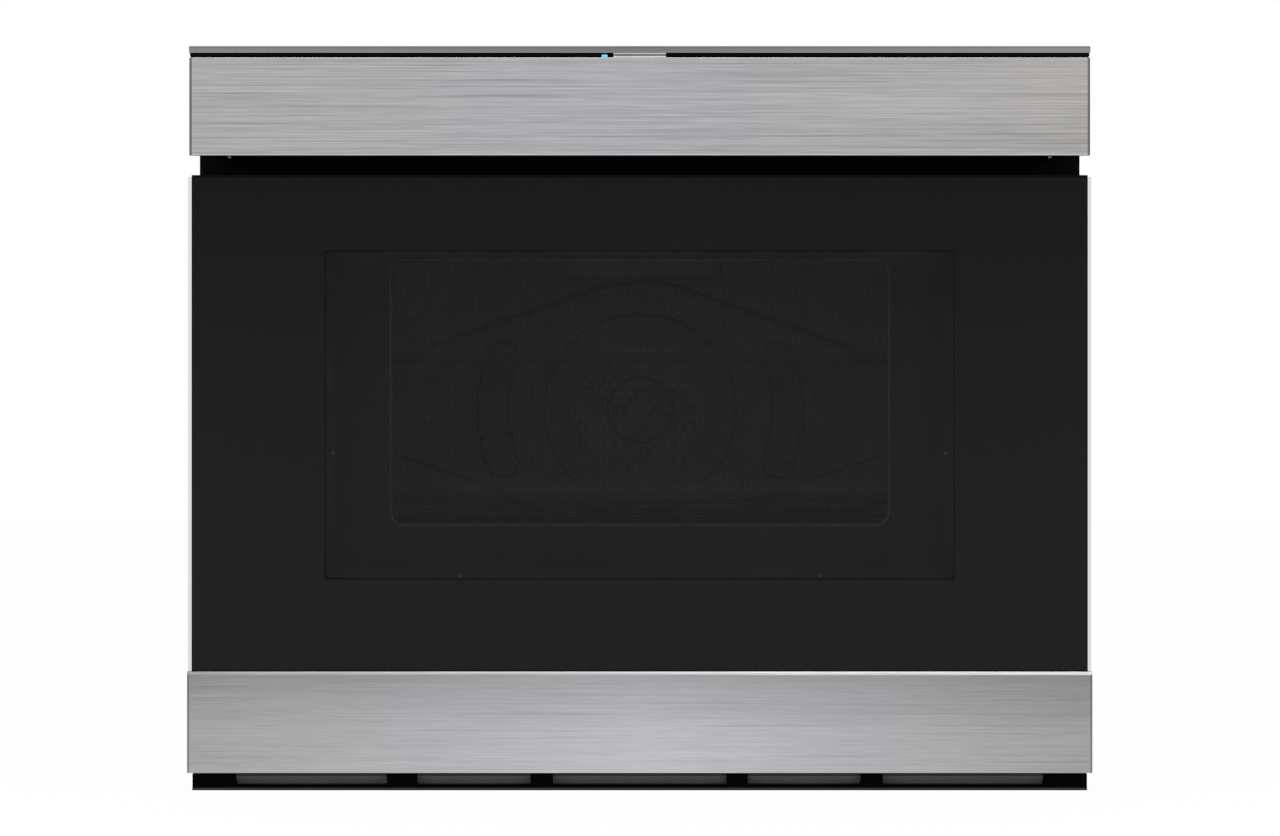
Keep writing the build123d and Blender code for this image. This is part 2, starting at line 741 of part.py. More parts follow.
# ================================================================ microwaves
tube_half = guide_tube_width / 2
tube_bottom = oven_top + oven_sheet
tube_top = tube_bottom + guide_tube_height
tube_front_margin = 6.0
tube_front_y = stirrer_y - feed_length / 2 - tube_front_margin
tube_length = 143.0
tube_back_y = tube_front_y + tube_length
antenna_radius = 8.0
antenna_clear = 1.0
with BuildPart() as waveguide:
    block(-tube_half, tube_half, tube_front_y, tube_back_y, tube_bottom, tube_top)
    block(
        -tube_half + guide_tube_wall,
        tube_half - guide_tube_wall,
        tube_front_y + guide_tube_wall,
        tube_back_y - guide_tube_wall,
        tube_bottom + guide_tube_wall,
        tube_top - guide_tube_wall,
        Mode.SUBTRACT,
    )
    block(
        -feed_width / 2,
        feed_width / 2,
        stirrer_y - feed_length / 2,
        stirrer_y + feed_length / 2,
        tube_bottom,
        tube_bottom + guide_tube_wall,
        Mode.SUBTRACT,
    )
    rod(
        (0, stirrer_y, tube_top - guide_tube_wall),
        (0, stirrer_y, tube_top),
        stirrer_shaft_radius + running_clearance,
        Mode.SUBTRACT,
    )
    antenna_z = (tube_bottom + tube_top) / 2
    antenna_hole = antenna_radius + antenna_clear
    tube_end = (0, tube_back_y, antenna_z)
    rod((0, tube_back_y - guide_tube_wall, antenna_z), tube_end, antenna_hole, Mode.SUBTRACT)
waveguide.part.label = "waveguide"
export_step(waveguide.part, "parts/waveguide.step")

# ---- magnetron: yoke, cooling fins round its anode, filter box and antenna
yoke_depth = 74.0
yoke_height = 84.0
yoke_sheet = 2.0
fin_count = 7
fin_sheet = 0.8
anode_radius = 20.0
fin_inset = 1.0
antenna_length = 24.0
filter_box_inset = 12.0
filter_box_depth = 22.0
filter_box_half_height = 25.0
with BuildPart() as magnetron:
    yoke_top = tube_bottom + yoke_height
    yoke_back_y = tube_back_y + yoke_depth
    block(-tube_half, tube_half, tube_back_y, yoke_back_y, tube_bottom, yoke_top)
    block(
        -tube_half,
        tube_half,
        tube_back_y + yoke_sheet,
        yoke_back_y - yoke_sheet,
        tube_bottom + yoke_sheet,
        yoke_top - yoke_sheet,
        Mode.SUBTRACT,
    )
    anode_z = (tube_bottom + yoke_top) / 2
    rod((0, tube_back_y, anode_z), (0, yoke_back_y, anode_z), anode_radius)
    for fin in range(fin_count):
        fin_y = tube_back_y + yoke_depth * (fin + 1) / (fin_count + 1)
        block(
            -tube_half + fin_inset,
            tube_half - fin_inset,
            fin_y,
            fin_y + fin_sheet,
            tube_bottom + yoke_sheet,
            yoke_top - yoke_sheet,
        )
    rod((0, tube_back_y - antenna_length, antenna_z), (0, tube_back_y, antenna_z), antenna_radius)
    block(
        -tube_half + filter_box_inset,
        tube_half - filter_box_inset,
        yoke_back_y,
        yoke_back_y + filter_box_depth,
        anode_z - filter_box_half_height,
        anode_z + filter_box_half_height,
    )
magnetron.part.label = "magnetron"
export_step(magnetron.part, "parts/magnetron.step")

# ---- stirrer with its shaft, its cover under the roof and its motor on the waveguide
stirrer_drop = 13.0
stirrer_sheet = 1.5
cover_half = 60.0
cover_drop = 19.0
cover_wall = 2.0
cover_corner = 8.0
stirrer_shaft_reach = 10.0
stirrer_motor_radius = 20.0
stirrer_motor_height = 18.0
stirrer_z = oven_top - stirrer_drop
with BuildPart() as stirrer:
    with BuildSketch(Plane.XY.offset(stirrer_z)):
        with Locations((0, stirrer_y)):
            Circle(4 * stirrer_shaft_radius)
            with PolarLocations(stirrer_radius / 2, 4):
                Rectangle(stirrer_radius, 6 * stirrer_shaft_radius)
    extrude(amount=stirrer_sheet)
    rod((0, stirrer_y, stirrer_z), (0, stirrer_y, tube_top + stirrer_shaft_reach), stirrer_shaft_radius)
stirrer.part.label = "stirrer"
export_step(stirrer.part, "parts/stirrer.step")

with BuildPart() as stirrer_cover:
    cover_front_y = stirrer_y - cover_half
    cover_back_y = stirrer_y + cover_half
    block(-cover_half, cover_half, cover_front_y, cover_back_y, oven_top - cover_drop, oven_top)
    fillet(stirrer_cover.edges().filter_by(Axis.Z), radius=cover_corner)
    offset(amount=-cover_wall, openings=stirrer_cover.faces().sort_by(Axis.Z)[-1])
stirrer_cover.part.label = "stirrer_cover"
export_step(stirrer_cover.part, "parts/stirrer_cover.step")

with BuildPart() as stirrer_motor:
    rod((0, stirrer_y, tube_top), (0, stirrer_y, tube_top + stirrer_motor_height), stirrer_motor_radius)
    socket_end = (0, stirrer_y, tube_top + stirrer_shaft_reach + shaft_play)
    rod((0, stirrer_y, tube_top), socket_end, stirrer_shaft_radius + running_clearance, Mode.SUBTRACT)
stirrer_motor.part.label = "stirrer_motor"
export_step(stirrer_motor.part, "parts/stirrer_motor.step")

# ---- transformer: laminated core with two windings, on the base plate
transformer_x = -150.0
transformer_y = -60.0
core_length = 84.0
core_depth = 62.0
core_height = 72.0
winding_window = 20.0
winding_corner = 6.0
winding_play = 1.3
winding_fit = 0.2
winding_levels = ((0.16, 0.46), (0.54, 0.84))
with BuildPart() as transformer:
    core_west = transformer_x - core_length / 2
    core_front = transformer_y - core_depth / 2
    core_east = core_west + core_length
    core_top = base_sheet + core_height
    block(core_west, core_east, core_front, core_front + core_depth, base_sheet, core_top)
    for side_name, side in both_sides:
        window_middle = transformer_x + side * core_length / 4
        block(
            window_middle - winding_window / 2,
            window_middle + winding_window / 2,
            core_front,
            core_front + core_depth,
            base_sheet + winding_window / 2,
            core_top - winding_window / 2,
            Mode.SUBTRACT,
        )
    leg_half = core_length / 4 - winding_window / 2
    for low, high in winding_levels:
        winding_low = base_sheet + core_height * low
        winding_high = base_sheet + core_height * high
        with BuildSketch(Plane.XY.offset(winding_low)):
            with Locations((transformer_x, transformer_y)):
                winding_width = 2 * (leg_half + winding_window - winding_play)
                RectangleRounded(winding_width, core_depth + winding_window, winding_corner)
                Rectangle(2 * (leg_half + winding_fit), core_depth + 2 * winding_fit, mode=Mode.SUBTRACT)
        extrude(amount=winding_high - winding_low)
transformer.part.label = "transformer"
export_step(transformer.part, "parts/transformer.step")

# ---- capacitor can lying on the base plate
capacitor_x = -150.0
capacitor_y = 40.0
can_width = 56.0
can_thickness = 34.0
can_length = 100.0
terminal_length = 12.0
terminal_radius = 3.0
terminal_half_pitch = 10.0
with BuildPart() as capacitor:
    can_axis_z = base_sheet + can_thickness / 2
    can_end = capacitor_x + can_length / 2
    with BuildSketch(side_view(capacitor_x - can_length / 2)):
        with Locations((capacitor_y, can_axis_z)):
            SlotOverall(can_width, can_thickness)
    extrude(amount=can_length)
    for step in (-1, 1):
        terminal_y = capacitor_y + step * terminal_half_pitch
        terminal_tip = (can_end + terminal_length, terminal_y, can_axis_z)
        rod((can_end, terminal_y, can_axis_z), terminal_tip, terminal_radius)
capacitor.part.label = "capacitor"
export_step(capacitor.part, "parts/capacitor.step")

# ================================================================ cooling blower
scroll_space = 14.0
scroll_wall = 1.5
wheel_side_space = 6.0
duct_height = 52.0
duct_reach = 34.0
inlet_inset = 12.0
blower_shaft_radius = 3.0
blower_shaft_clear = 0.5
blower_shaft_reach = 20.0
foot_width = 30.0
foot_overlap = 10.0
scroll_radius = blower_radius + scroll_space
blower_west = blower_x - blower_width / 2 - wheel_side_space
blower_east = blower_x + blower_width / 2 + wheel_side_space
blower_span = blower_east - blower_west
duct_length = scroll_radius + duct_reach
duct_middle = (-duct_length / 2, -scroll_radius + duct_height / 2)
foot_top = blower_z - scroll_radius + foot_overlap
with BuildPart() as blower_housing:
    with BuildSketch(axle_plane(blower_west, blower_y, blower_z)):
        Circle(scroll_radius)
        with Locations(duct_middle):
            Rectangle(duct_length, duct_height)
        with Locations((0, (foot_top + base_sheet) / 2 - blower_z)):
            Rectangle(foot_width, foot_top - base_sheet)
    extrude(amount=blower_span)
    with BuildSketch(axle_plane(blower_west + scroll_wall, blower_y, blower_z)):
        Circle(scroll_radius - scroll_wall)
        with Locations(duct_middle):
            Rectangle(duct_length + scroll_wall, duct_height - 2 * scroll_wall)
    extrude(amount=blower_span - 2 * scroll_wall, mode=Mode.SUBTRACT)
    inlet_end = (blower_west + scroll_wall, blower_y, blower_z)
    rod((blower_west, blower_y, blower_z), inlet_end, blower_radius - inlet_inset, Mode.SUBTRACT)
    shaft_hole_start = (blower_east - scroll_wall, blower_y, blower_z)
    shaft_hole_end = (blower_east, blower_y, blower_z)
    rod(shaft_hole_start, shaft_hole_end, blower_shaft_radius + blower_shaft_clear, Mode.SUBTRACT)
blower_housing.part.label = "blower_housing"
export_step(blower_housing.part, "parts/blower_housing.step")

wheel_disc = 2.0
wheel_ring = 1.5
wheel_ring_width = 5.0
wheel_blade_width = 10.0
wheel_blade_sheet = 1.2
wheel_blade_tilt = 35.0
wheel_blade_inset = 6.0
with BuildPart() as blower_wheel:
    wheel_west = blower_x - blower_width / 2
    wheel_east = blower_x + blower_width / 2
    rod((wheel_east - wheel_disc, blower_y, blower_z), (wheel_east, blower_y, blower_z), blower_radius)
    blower_shaft_end = (blower_east + blower_shaft_reach, blower_y, blower_z)
    rod((wheel_west, blower_y, blower_z), blower_shaft_end, blower_shaft_radius)
    with BuildSketch(axle_plane(wheel_west, blower_y, blower_z)):
        with PolarLocations(blower_radius - wheel_blade_inset, blower_blades):
            Rectangle(wheel_blade_width, wheel_blade_sheet, rotation=wheel_blade_tilt)
    extrude(amount=blower_width - wheel_disc)
    with BuildSketch(axle_plane(wheel_west, blower_y, blower_z)):
        Circle(blower_radius)
        Circle(blower_radius - wheel_ring_width, mode=Mode.SUBTRACT)
    extrude(amount=wheel_ring)
blower_wheel.part.label = "blower_wheel"
export_step(blower_wheel.part, "parts/blower_wheel.step")

blower_motor_radius = 24.0
blower_motor_length = 34.0
with BuildPart() as blower_motor:
    motor_start = (blower_east, blower_y, blower_z)
    rod(motor_start, (blower_east + blower_motor_length, blower_y, blower_z), blower_motor_radius)
    socket_end = (blower_east + blower_shaft_reach + shaft_play, blower_y, blower_z)
    rod(motor_start, socket_end, blower_shaft_radius + running_clearance, Mode.SUBTRACT)
blower_motor.part.label = "blower_motor"
export_step(blower_motor.part, "parts/blower_motor.step")

# ================================================================ boards and switches
board_sheet = 1.6
standoff = 6.0
standoff_radius = 3.0
standoff_inset = 7.0
board_length = 160.0
board_breadth = 130.0
board_side_inset = 5.0
board_front_setback = 40.0
coil_side = 40.0
coil_height = 26.0
relay_length = 14.0
relay_breadth = 20.0
relay_height = 16.0
relay_pitch = 18.0
relay_count = 4
can_radius = 6.0
can_height = 20.0
can_pitch = 16.0
can_count = 3
board_inset = 15.0
with BuildPart() as control_board:
    board_z = oven_top + oven_sheet + standoff
    board_top = board_z + board_sheet
    board_west = -oven_half + board_side_inset
    board_east = board_west + board_breadth
    board_front = cabinet_y + board_front_setback
    board_back = board_front + board_length
    block(board_west, board_east, board_front, board_back, board_z, board_top)
    for post_x in (board_west + standoff_inset, board_east - standoff_inset):
        for post_y in (board_front + standoff_inset, board_back - standoff_inset):
            rod((post_x, post_y, oven_top + oven_sheet), (post_x, post_y, board_z), standoff_radius)
    coil_west = board_west + board_inset
    coil_front = board_front + 2 * board_inset
    coil_back = coil_front + coil_side
    block(coil_west, coil_west + coil_side, coil_front, coil_back, board_top, board_top + coil_height)
    relay_east = board_east - 2 * board_inset
    for relay in range(relay_count):
        relay_front = coil_back + relay * relay_pitch
        block(
            relay_east - relay_breadth,
            relay_east,
            relay_front,
            relay_front + relay_length,
            board_top,
            board_top + relay_height,
        )
    for can in range(can_count):
        can_x = coil_west + can_radius + can * can_pitch
        can_y = board_back - 2 * board_inset
        rod((can_x, can_y, board_top), (can_x, can_y, board_top + can_height), can_radius)
control_board.part.label = "control_board"
export_step(control_board.part, "parts/control_board.step")

switch_width = 10.0
switch_depth = 28.0
switch_half_height = 8.0
switch_gap = 1.0
with BuildPart() as interlock_switches:
    switch_step = latch_slot_height / 2 + switch_gap + switch_half_height
    for side_name, side in both_sides:
        for level in (-1, 1):
            switch_z = latch_z + level * switch_step
            block(
                side * latch_x - switch_width / 2,
                side * latch_x + switch_width / 2,
                cabinet_y,
                cabinet_y + switch_depth,
                switch_z - switch_half_height,
                switch_z + switch_half_height,
            )
interlock_switches.part.label = "interlock_switches"
export_step(interlock_switches.part, "parts/interlock_switches.step")

# ================================================================ runners
middle_web = runner_outside - runner_sheet - runner_web_gap
middle_half = runner_half_height - runner_sheet - runner_ball_gap
inner_web = middle_web - runner_sheet - runner_web_gap
inner_half = middle_half - runner_sheet - runner_ball_gap
runner_front_gap = 2.0
middle_shortening = 20.0
inner_shortening = 30.0
runner_front_y = cabinet_y + runner_front_gap
middle_length = runner_length - middle_shortening
inner_length = runner_length - inner_shortening


def channel(side, web, half_height, front, length):
    """Joins one runner member: a web and two flanges that turn towards the middle of the drawer."""
    outer = side * web
    inner = side * (web - runner_sheet)
    reach = side * runner_inside
    low = runner_height - half_height
    high = runner_height + half_height
    block(min(outer, inner), max(outer, inner), front, front + length, low, high)
    for edge in (-1, 1):
        near = runner_height + edge * half_height
        far = near - edge * runner_sheet
        block(min(inner, reach), max(inner, reach), front, front + length, min(near, far), max(near, far))


with BuildPart() as outer_runners:
    for side_name, side in both_sides:
        channel(side, runner_outside, runner_half_height, runner_front_y, runner_length)
outer_runners.part.label = "outer_runners"
export_step(outer_runners.part, "parts/outer_runners.step")

with BuildPart() as middle_runners:
    for side_name, side in both_sides:
        channel(side, middle_web, middle_half, runner_front_y, middle_length)
middle_runners.part.label = "middle_runners"
export_step(middle_runners.part, "parts/middle_runners.step")

with BuildPart() as inner_runners:
    for side_name, side in both_sides:
        channel(side, inner_web, inner_half, door_back_y, inner_length)
inner_runners.part.label = "inner_runners"
export_step(inner_runners.part, "parts/inner_runners.step")

# ================================================================ drive
rack_overrun = 12.0
rack_back_y = drive_y + drawer_travel + rack_overrun
rack_tooth_pitch = pi * rack_module
rack_addendum = tooth_addendum * rack_module
rack_dedendum = tooth_dedendum * rack_module
first_tooth = -3
last_tooth = int((rack_back_y - drive_y) / rack_tooth_pitch)
with BuildPart() as drive_rack:
    bar_bottom = rack_pitch_z + rack_dedendum
    bar_top = rack_pitch_z + rack_bar_height
    half_rack = pinion_width / 2
    block(drive_x - half_rack, drive_x + half_rack, door_back_y, rack_back_y, bar_bottom, bar_top)
    tooth_half = rack_tooth_pitch / 4 - backlash / 2
    tooth_slope = tan(radians(pressure_angle))
    tip_half = tooth_half - rack_addendum * tooth_slope
    foot_half = tooth_half + rack_dedendum * tooth_slope
    tip_z = rack_pitch_z - rack_addendum
    with BuildSketch(side_view(drive_x - half_rack)):
        for tooth in range(first_tooth, last_tooth):
            tooth_y = drive_y + (tooth + 0.5) * rack_tooth_pitch
            with BuildLine():
                Polyline(
                    (tooth_y - foot_half, bar_bottom),
                    (tooth_y - tip_half, tip_z),
                    (tooth_y + tip_half, tip_z),
                    (tooth_y + foot_half, bar_bottom),
                    close=True,
                )
            make_face()
    extrude(amount=pinion_width)
drive_rack.part.label = "drive_rack"
export_step(drive_rack.part, "parts/drive_rack.step")

# ---- gear cluster: rack pinion and reduction gear on one shaft
plate_gap = 3.0
gear_east = drive_x - pinion_width / 2 - plate_gap
gear_west = gear_east - gear_width
plate_west = gear_west - plate_gap - bracket_sheet
plate_east = drive_x + pinion_width / 2 + plate_gap
with BuildPart() as gear_cluster:
    with BuildSketch(axle_plane(drive_x - pinion_width / 2, drive_y, drive_shaft_height)):
        Circle(pinion_pitch - rack_dedendum)
        with PolarLocations(0, pinion_teeth, start_angle=90):
            Polygon(*tooth_points(pinion_teeth, rack_module), align=None)
    extrude(amount=pinion_width)
    with BuildSketch(axle_plane(gear_west, drive_y, drive_shaft_height)):
        Circle(gear_pitch - tooth_dedendum * gear_module)
        with PolarLocations(0, gear_teeth):
            Polygon(*tooth_points(gear_teeth, gear_module), align=None)
    extrude(amount=gear_width)
    shaft_west = (plate_west, drive_y, drive_shaft_height)
    shaft_east = (plate_east + bracket_sheet, drive_y, drive_shaft_height)
    rod(shaft_west, shaft_east, drive_shaft_radius)
gear_cluster.part.label = "gear_cluster"
export_step(gear_cluster.part, "parts/gear_cluster.step")

# ---- pinion on the motor's shaft; its gap faces the reduction gear
with BuildPart() as motor_pinion:
    with BuildSketch(axle_plane(gear_west, drive_motor_y, drive_shaft_height)):
        Circle(motor_pinion_pitch - tooth_dedendum * gear_module)
        with PolarLocations(0, motor_pinion_teeth, start_angle=180 + 180 / motor_pinion_teeth):
            Polygon(*tooth_points(motor_pinion_teeth, gear_module), align=None)
    extrude(amount=gear_width)
    rod(
        (plate_west - motor_shaft_reach, drive_motor_y, drive_shaft_height),
        (gear_west, drive_motor_y, drive_shaft_height),
        motor_shaft_radius,
    )
motor_pinion.part.label = "motor_pinion"
export_step(motor_pinion.part, "parts/motor_pinion.step")

# ---- bracket that holds the shaft, the motor and a shoe over the rack
bracket_front_margin = 30.0
bracket_back_margin = 4.0
bracket_top_margin = 4.0
shoe_gap = 0.3
shoe_half_length = 10.0
bracket_front_y = drive_y - bracket_front_margin
bracket_back_y = drive_motor_y + drive_motor_radius + bracket_back_margin
bracket_top = rack_pitch_z + rack_bar_height + bracket_top_margin
bracket_east = plate_east + bracket_sheet
with BuildPart() as drive_bracket:
    for plate_x in (plate_west, plate_east):
        block(plate_x, plate_x + bracket_sheet, bracket_front_y, bracket_back_y, base_sheet, bracket_top)
    sole_top = base_sheet + bracket_sheet
    block(plate_west, bracket_east, bracket_front_y, bracket_back_y, base_sheet, sole_top)
    shoe_bottom = rack_pitch_z + rack_bar_height + shoe_gap
    shoe_front_y = drive_y - shoe_half_length
    shoe_back_y = drive_y + shoe_half_length
    block(drive_x - pinion_width / 2, bracket_east, shoe_front_y, shoe_back_y, shoe_bottom, bracket_top)
    rod(
        (plate_west, drive_y, drive_shaft_height),
        (bracket_east, drive_y, drive_shaft_height),
        drive_shaft_radius + running_clearance,
        Mode.SUBTRACT,
    )
    rod(
        (plate_west, drive_motor_y, drive_shaft_height),
        (plate_west + bracket_sheet, drive_motor_y, drive_shaft_height),
        motor_shaft_radius + motor_shaft_clear,
        Mode.SUBTRACT,
    )
drive_bracket.part.label = "drive_bracket"
export_step(drive_bracket.part, "parts/drive_bracket.step")

with BuildPart() as drive_motor:
    rod(
        (plate_west, drive_motor_y, drive_shaft_height),
        (plate_west - drive_motor_length, drive_motor_y, drive_shaft_height),
        drive_motor_radius,
    )
    rod(
        (plate_west, drive_motor_y, drive_shaft_height),
        (plate_west - motor_shaft_reach - shaft_play, drive_motor_y, drive_shaft_height),
        motor_shaft_radius + running_clearance,
        Mode.SUBTRACT,
    )
drive_motor.part.label = "drive_motor"
export_step(drive_motor.part, "parts/drive_motor.step")

# ================================================================ drawer: door
# ---- front glass
with BuildPart() as door_glass:
    block(-glass_half, glass_half, glass_front_y, glass_back_y, glass_bottom, glass_top)
    chamfer(door_glass.faces().sort_by(Axis.Y)[0].edges(), length=glass_edge)
door_glass.part.label = "door_glass"
export_step(door_glass.part, "parts/door_glass.step")

# ---- light trims along both sides of the glass
with BuildPart() as door_side_trims:
    for side_name, side in both_sides:
        near = side * glass_half
        far = side * (glass_half + side_trim_width)
        trim_rear_y = glass_front_y + side_trim_depth
        block(min(near, far), max(near, far), glass_front_y, trim_rear_y, glass_bottom, glass_top)
door_side_trims.part.label = "door_side_trims"
export_step(door_side_trims.part, "parts/door_side_trims.step")

# ---- lower panel: a sheet turned back on all four sides, with a bevel along its top
lower_rear_y = front_y + lower_panel_depth
with BuildPart() as lower_panel:
    with BuildSketch(side_view(-overall_width / 2)):
        with BuildLine():
            Polyline(
                (front_y, lower_panel_bottom),
                (front_y, lower_panel_top - bevel_height),
                (front_y + bevel_height, lower_panel_top),
                (lower_rear_y, lower_panel_top),
                (lower_rear_y, lower_panel_bottom),
                close=True,
            )
        make_face()
    extrude(amount=overall_width)
    fillet(lower_panel.edges().filter_by(Axis.Z).group_by(Axis.Y)[0], radius=fascia_edge_radius)
    with BuildSketch(side_view(-overall_width / 2 + front_sheet)):
        with BuildLine():
            Polyline(
                (front_y + front_sheet, lower_panel_bottom + front_sheet),
                (front_y + front_sheet, lower_panel_top - bevel_height - front_sheet / 2),
                (front_y + bevel_height + front_sheet / 2, lower_panel_top - front_sheet),
                (lower_rear_y, lower_panel_top - front_sheet),
                (lower_rear_y, lower_panel_bottom + front_sheet),
                close=True,
            )
        make_face()
    extrude(amount=overall_width - 2 * front_sheet, mode=Mode.SUBTRACT)
lower_panel.part.label = "lower_panel"
export_step(lower_panel.part, "parts/lower_panel.step")

# ---- door frame: back plate with the mouth of the choke, walls turned forward, cap over the glass
frame_bottom = lower_panel_bottom + front_sheet
choke_mouth_gap = 0.5
cap_height = 1.2
cap_setback = 1.0
with BuildPart() as door_frame:
    cap_front_y = glass_front_y + cap_setback
    cap_top = glass_top + cap_height
    plate_front_y = door_back_y - back_plate
    block(-glass_half, glass_half, plate_front_y, door_back_y, frame_bottom, cap_top)
    block(-glass_half, glass_half, cap_front_y, plate_front_y, glass_top, cap_top)
    for side_name, side in both_sides:
        near = side * glass_half
        far = side * (glass_half - frame_sheet)
        block(min(near, far), max(near, far), glass_back_y, plate_front_y, glass_bottom, glass_top)
        block(
            min(near, far),
            max(near, far),
            front_y + 2 * front_sheet + bevel_height,
            plate_front_y,
            frame_bottom,
            lower_panel_top - front_sheet,
        )
    shelf_top = glass_bottom + frame_sheet
    block(-glass_half, glass_half, glass_back_y, plate_front_y, glass_bottom, shelf_top)
    sill_front_y = front_y + front_sheet
    sill_top = frame_bottom + frame_sheet
    block(-glass_half, glass_half, sill_front_y, plate_front_y, frame_bottom, sill_top)
    block(
        -choke_half - choke_mouth_gap,
        choke_half + choke_mouth_gap,
        plate_front_y,
        door_back_y,
        choke_bottom - choke_mouth_gap,
        choke_top + choke_mouth_gap,
        Mode.SUBTRACT,
    )
door_frame.part.label = "door_frame"
export_step(door_frame.part, "parts/door_frame.step")

# ---- choke frame: a plate with the window, an outer wall and an inner wall that form the choke channel
channel_inset = 38.0
channel_inset_low = 12.0
channel_inset_high = 23.0
opening_width = window_width + 2 * window_margin
opening_height = window_height + 2 * window_margin
with BuildPart() as choke_frame:
    choke_centre = (choke_bottom + choke_top) / 2
    choke_rise = choke_top - choke_bottom
    inner_width = choke_width - 2 * channel_inset
    inner_rise = choke_rise - channel_inset_low - channel_inset_high
    inner_centre = choke_centre + (channel_inset_low - channel_inset_high) / 2
    with BuildSketch(front_view(plate_front_y)):
        with Locations((0, choke_centre)):
            Rectangle(choke_width, choke_rise)
    extrude(amount=choke_depth)
    with BuildSketch(front_view(plate_front_y)):
        with Locations((0, choke_centre)):
            Rectangle(choke_width - 2 * frame_sheet, choke_rise - 2 * frame_sheet)
        with Locations((0, inner_centre)):
            Rectangle(inner_width, inner_rise, mode=Mode.SUBTRACT)
    extrude(amount=choke_depth - frame_sheet, mode=Mode.SUBTRACT)
    with BuildSketch(front_view(plate_front_y)):
        with Locations((0, inner_centre)):
            Rectangle(inner_width - 2 * frame_sheet, inner_rise - 2 * frame_sheet)
    extrude(amount=choke_depth - frame_sheet, mode=Mode.SUBTRACT)
    with BuildSketch(front_view(plate_front_y)):
        with Locations((0, window_centre)):
            RectangleRounded(opening_width, opening_height, window_corner)
    extrude(amount=choke_depth, mode=Mode.SUBTRACT)
choke_frame.part.label = "choke_frame"
export_step(choke_frame.part, "parts/choke_frame.step")

# ---- mesh screen in front of the choke frame, with two pressed seams round its window
with BuildPart() as mesh_screen:
    with BuildSketch(front_view(choke_front_y)):
        with Locations((0, screen_bottom + screen_height / 2)):
            RectangleRounded(screen_width, screen_height, screen_corner)
    extrude(amount=screen_thickness)
    with BuildSketch(front_view(choke_front_y - screen_thickness)):
        with Locations((0, window_centre)):
            seam_width = window_width + 2 * screen_seam
            RectangleRounded(seam_width, window_height + 2 * screen_seam, window_corner + screen_seam)
            RectangleRounded(window_width, window_height, window_corner, mode=Mode.SUBTRACT)
    extrude(amount=screen_seam_height)
mesh_screen.part.label = "mesh_screen"
export_step(mesh_screen.part, "parts/mesh_screen.step")

# ---- inner window pane behind the plate of the choke frame
with BuildPart() as inner_pane:
    pane_front_y = choke_front_y + frame_sheet
    with BuildSketch(front_view(pane_front_y + pane_thickness)):
        with Locations((0, window_centre)):
            pane_width = window_width + 4 * window_margin
            RectangleRounded(pane_width, window_height + 3 * window_margin, window_corner)
    extrude(amount=pane_thickness)
inner_pane.part.label = "inner_pane"
export_step(inner_pane.part, "parts/inner_pane.step")

# ---- choke cover: a frame of plastic over the choke channel, flush with the back plate
with BuildPart() as choke_cover:
    with BuildSketch(front_view(door_back_y)):
        with Locations((0, choke_centre)):
            Rectangle(choke_width, choke_rise)
        with Locations((0, window_centre)):
            RectangleRounded(opening_width, opening_height, window_corner, mode=Mode.SUBTRACT)
    extrude(amount=back_plate)
choke_cover.part.label = "choke_cover"
export_step(choke_cover.part, "parts/choke_cover.step")

# ---- latch hooks behind the back plate
hook_sheet = 3.0
hook_reach = 22.0
hook_drop = 6.0
hook_rise = 7.0
hook_neck = 1.0
hook_tooth = 8.0
with BuildPart() as latch_hooks:
    hook_end_y = door_back_y + hook_reach
    for side_name, side in both_sides:
        with BuildSketch(side_view(side * latch_x - hook_sheet / 2)):
            with BuildLine():
                Polyline(
                    (door_back_y, latch_z - hook_drop),
                    (hook_end_y, latch_z - hook_drop),
                    (hook_end_y, latch_z + hook_neck),
                    (hook_end_y - hook_tooth / 2, latch_z + hook_rise),
                    (hook_end_y - hook_tooth, latch_z + hook_rise),
                    (hook_end_y - hook_tooth, latch_z + hook_neck),
                    (door_back_y, latch_z + hook_neck),
                    close=True,
                )
            make_face()
        extrude(amount=hook_sheet)
latch_hooks.part.label = "latch_hooks"
export_step(latch_hooks.part, "parts/latch_hooks.step")

# ================================================================ drawer: pan and contents
# ---- pan: floor, two side walls with a ledge for the rack, low lip at the rear
with BuildPart() as drawer_pan:
    block(-pan_half, pan_half, door_back_y, pan_back_y, pan_bottom, pan_floor_top)
    for side_name, side in both_sides:
        near = side * pan_half
        far = side * (pan_half - pan_sheet)
        block(min(near, far), max(near, far), door_back_y, pan_back_y, pan_floor_top, pan_top)
        ledge_edge = side * (pan_half - pan_sheet - ledge_reach)
        ledge_front_y = rack_y - rack_length / 2 - ledge_overrun
        ledge_back_y = rack_y + rack_length / 2 + ledge_overrun
        ledge_west = min(far, ledge_edge)
        ledge_east = max(far, ledge_edge)
        block(ledge_west, ledge_east, ledge_front_y, ledge_back_y, ledge_top - ledge_height, ledge_top)
    lip_half = pan_half - pan_sheet
    lip_top = pan_bottom + pan_lip_height
    block(-lip_half, lip_half, pan_back_y - pan_sheet, pan_back_y, pan_floor_top, lip_top)
drawer_pan.part.label = "drawer_pan"
export_step(drawer_pan.part, "parts/drawer_pan.step")

# ---- ceramic floor in the pan
with BuildPart() as ceramic_floor:
    with BuildSketch(Plane.XY.offset(pan_floor_top)):
        with Locations((0, (door_back_y + pan_back_y) / 2)):
            RectangleRounded(
                2 * (pan_half - pan_sheet - ceramic_gap),
                pan_back_y - door_back_y - 2 * pan_sheet - 2 * ceramic_gap,
                ceramic_corner,
            )
    extrude(amount=ceramic_thickness)
    fillet(ceramic_floor.edges().group_by(Axis.Z)[-1], radius=ceramic_edge)
ceramic_floor.part.label = "ceramic_floor"
export_step(ceramic_floor.part, "parts/ceramic_floor.step")

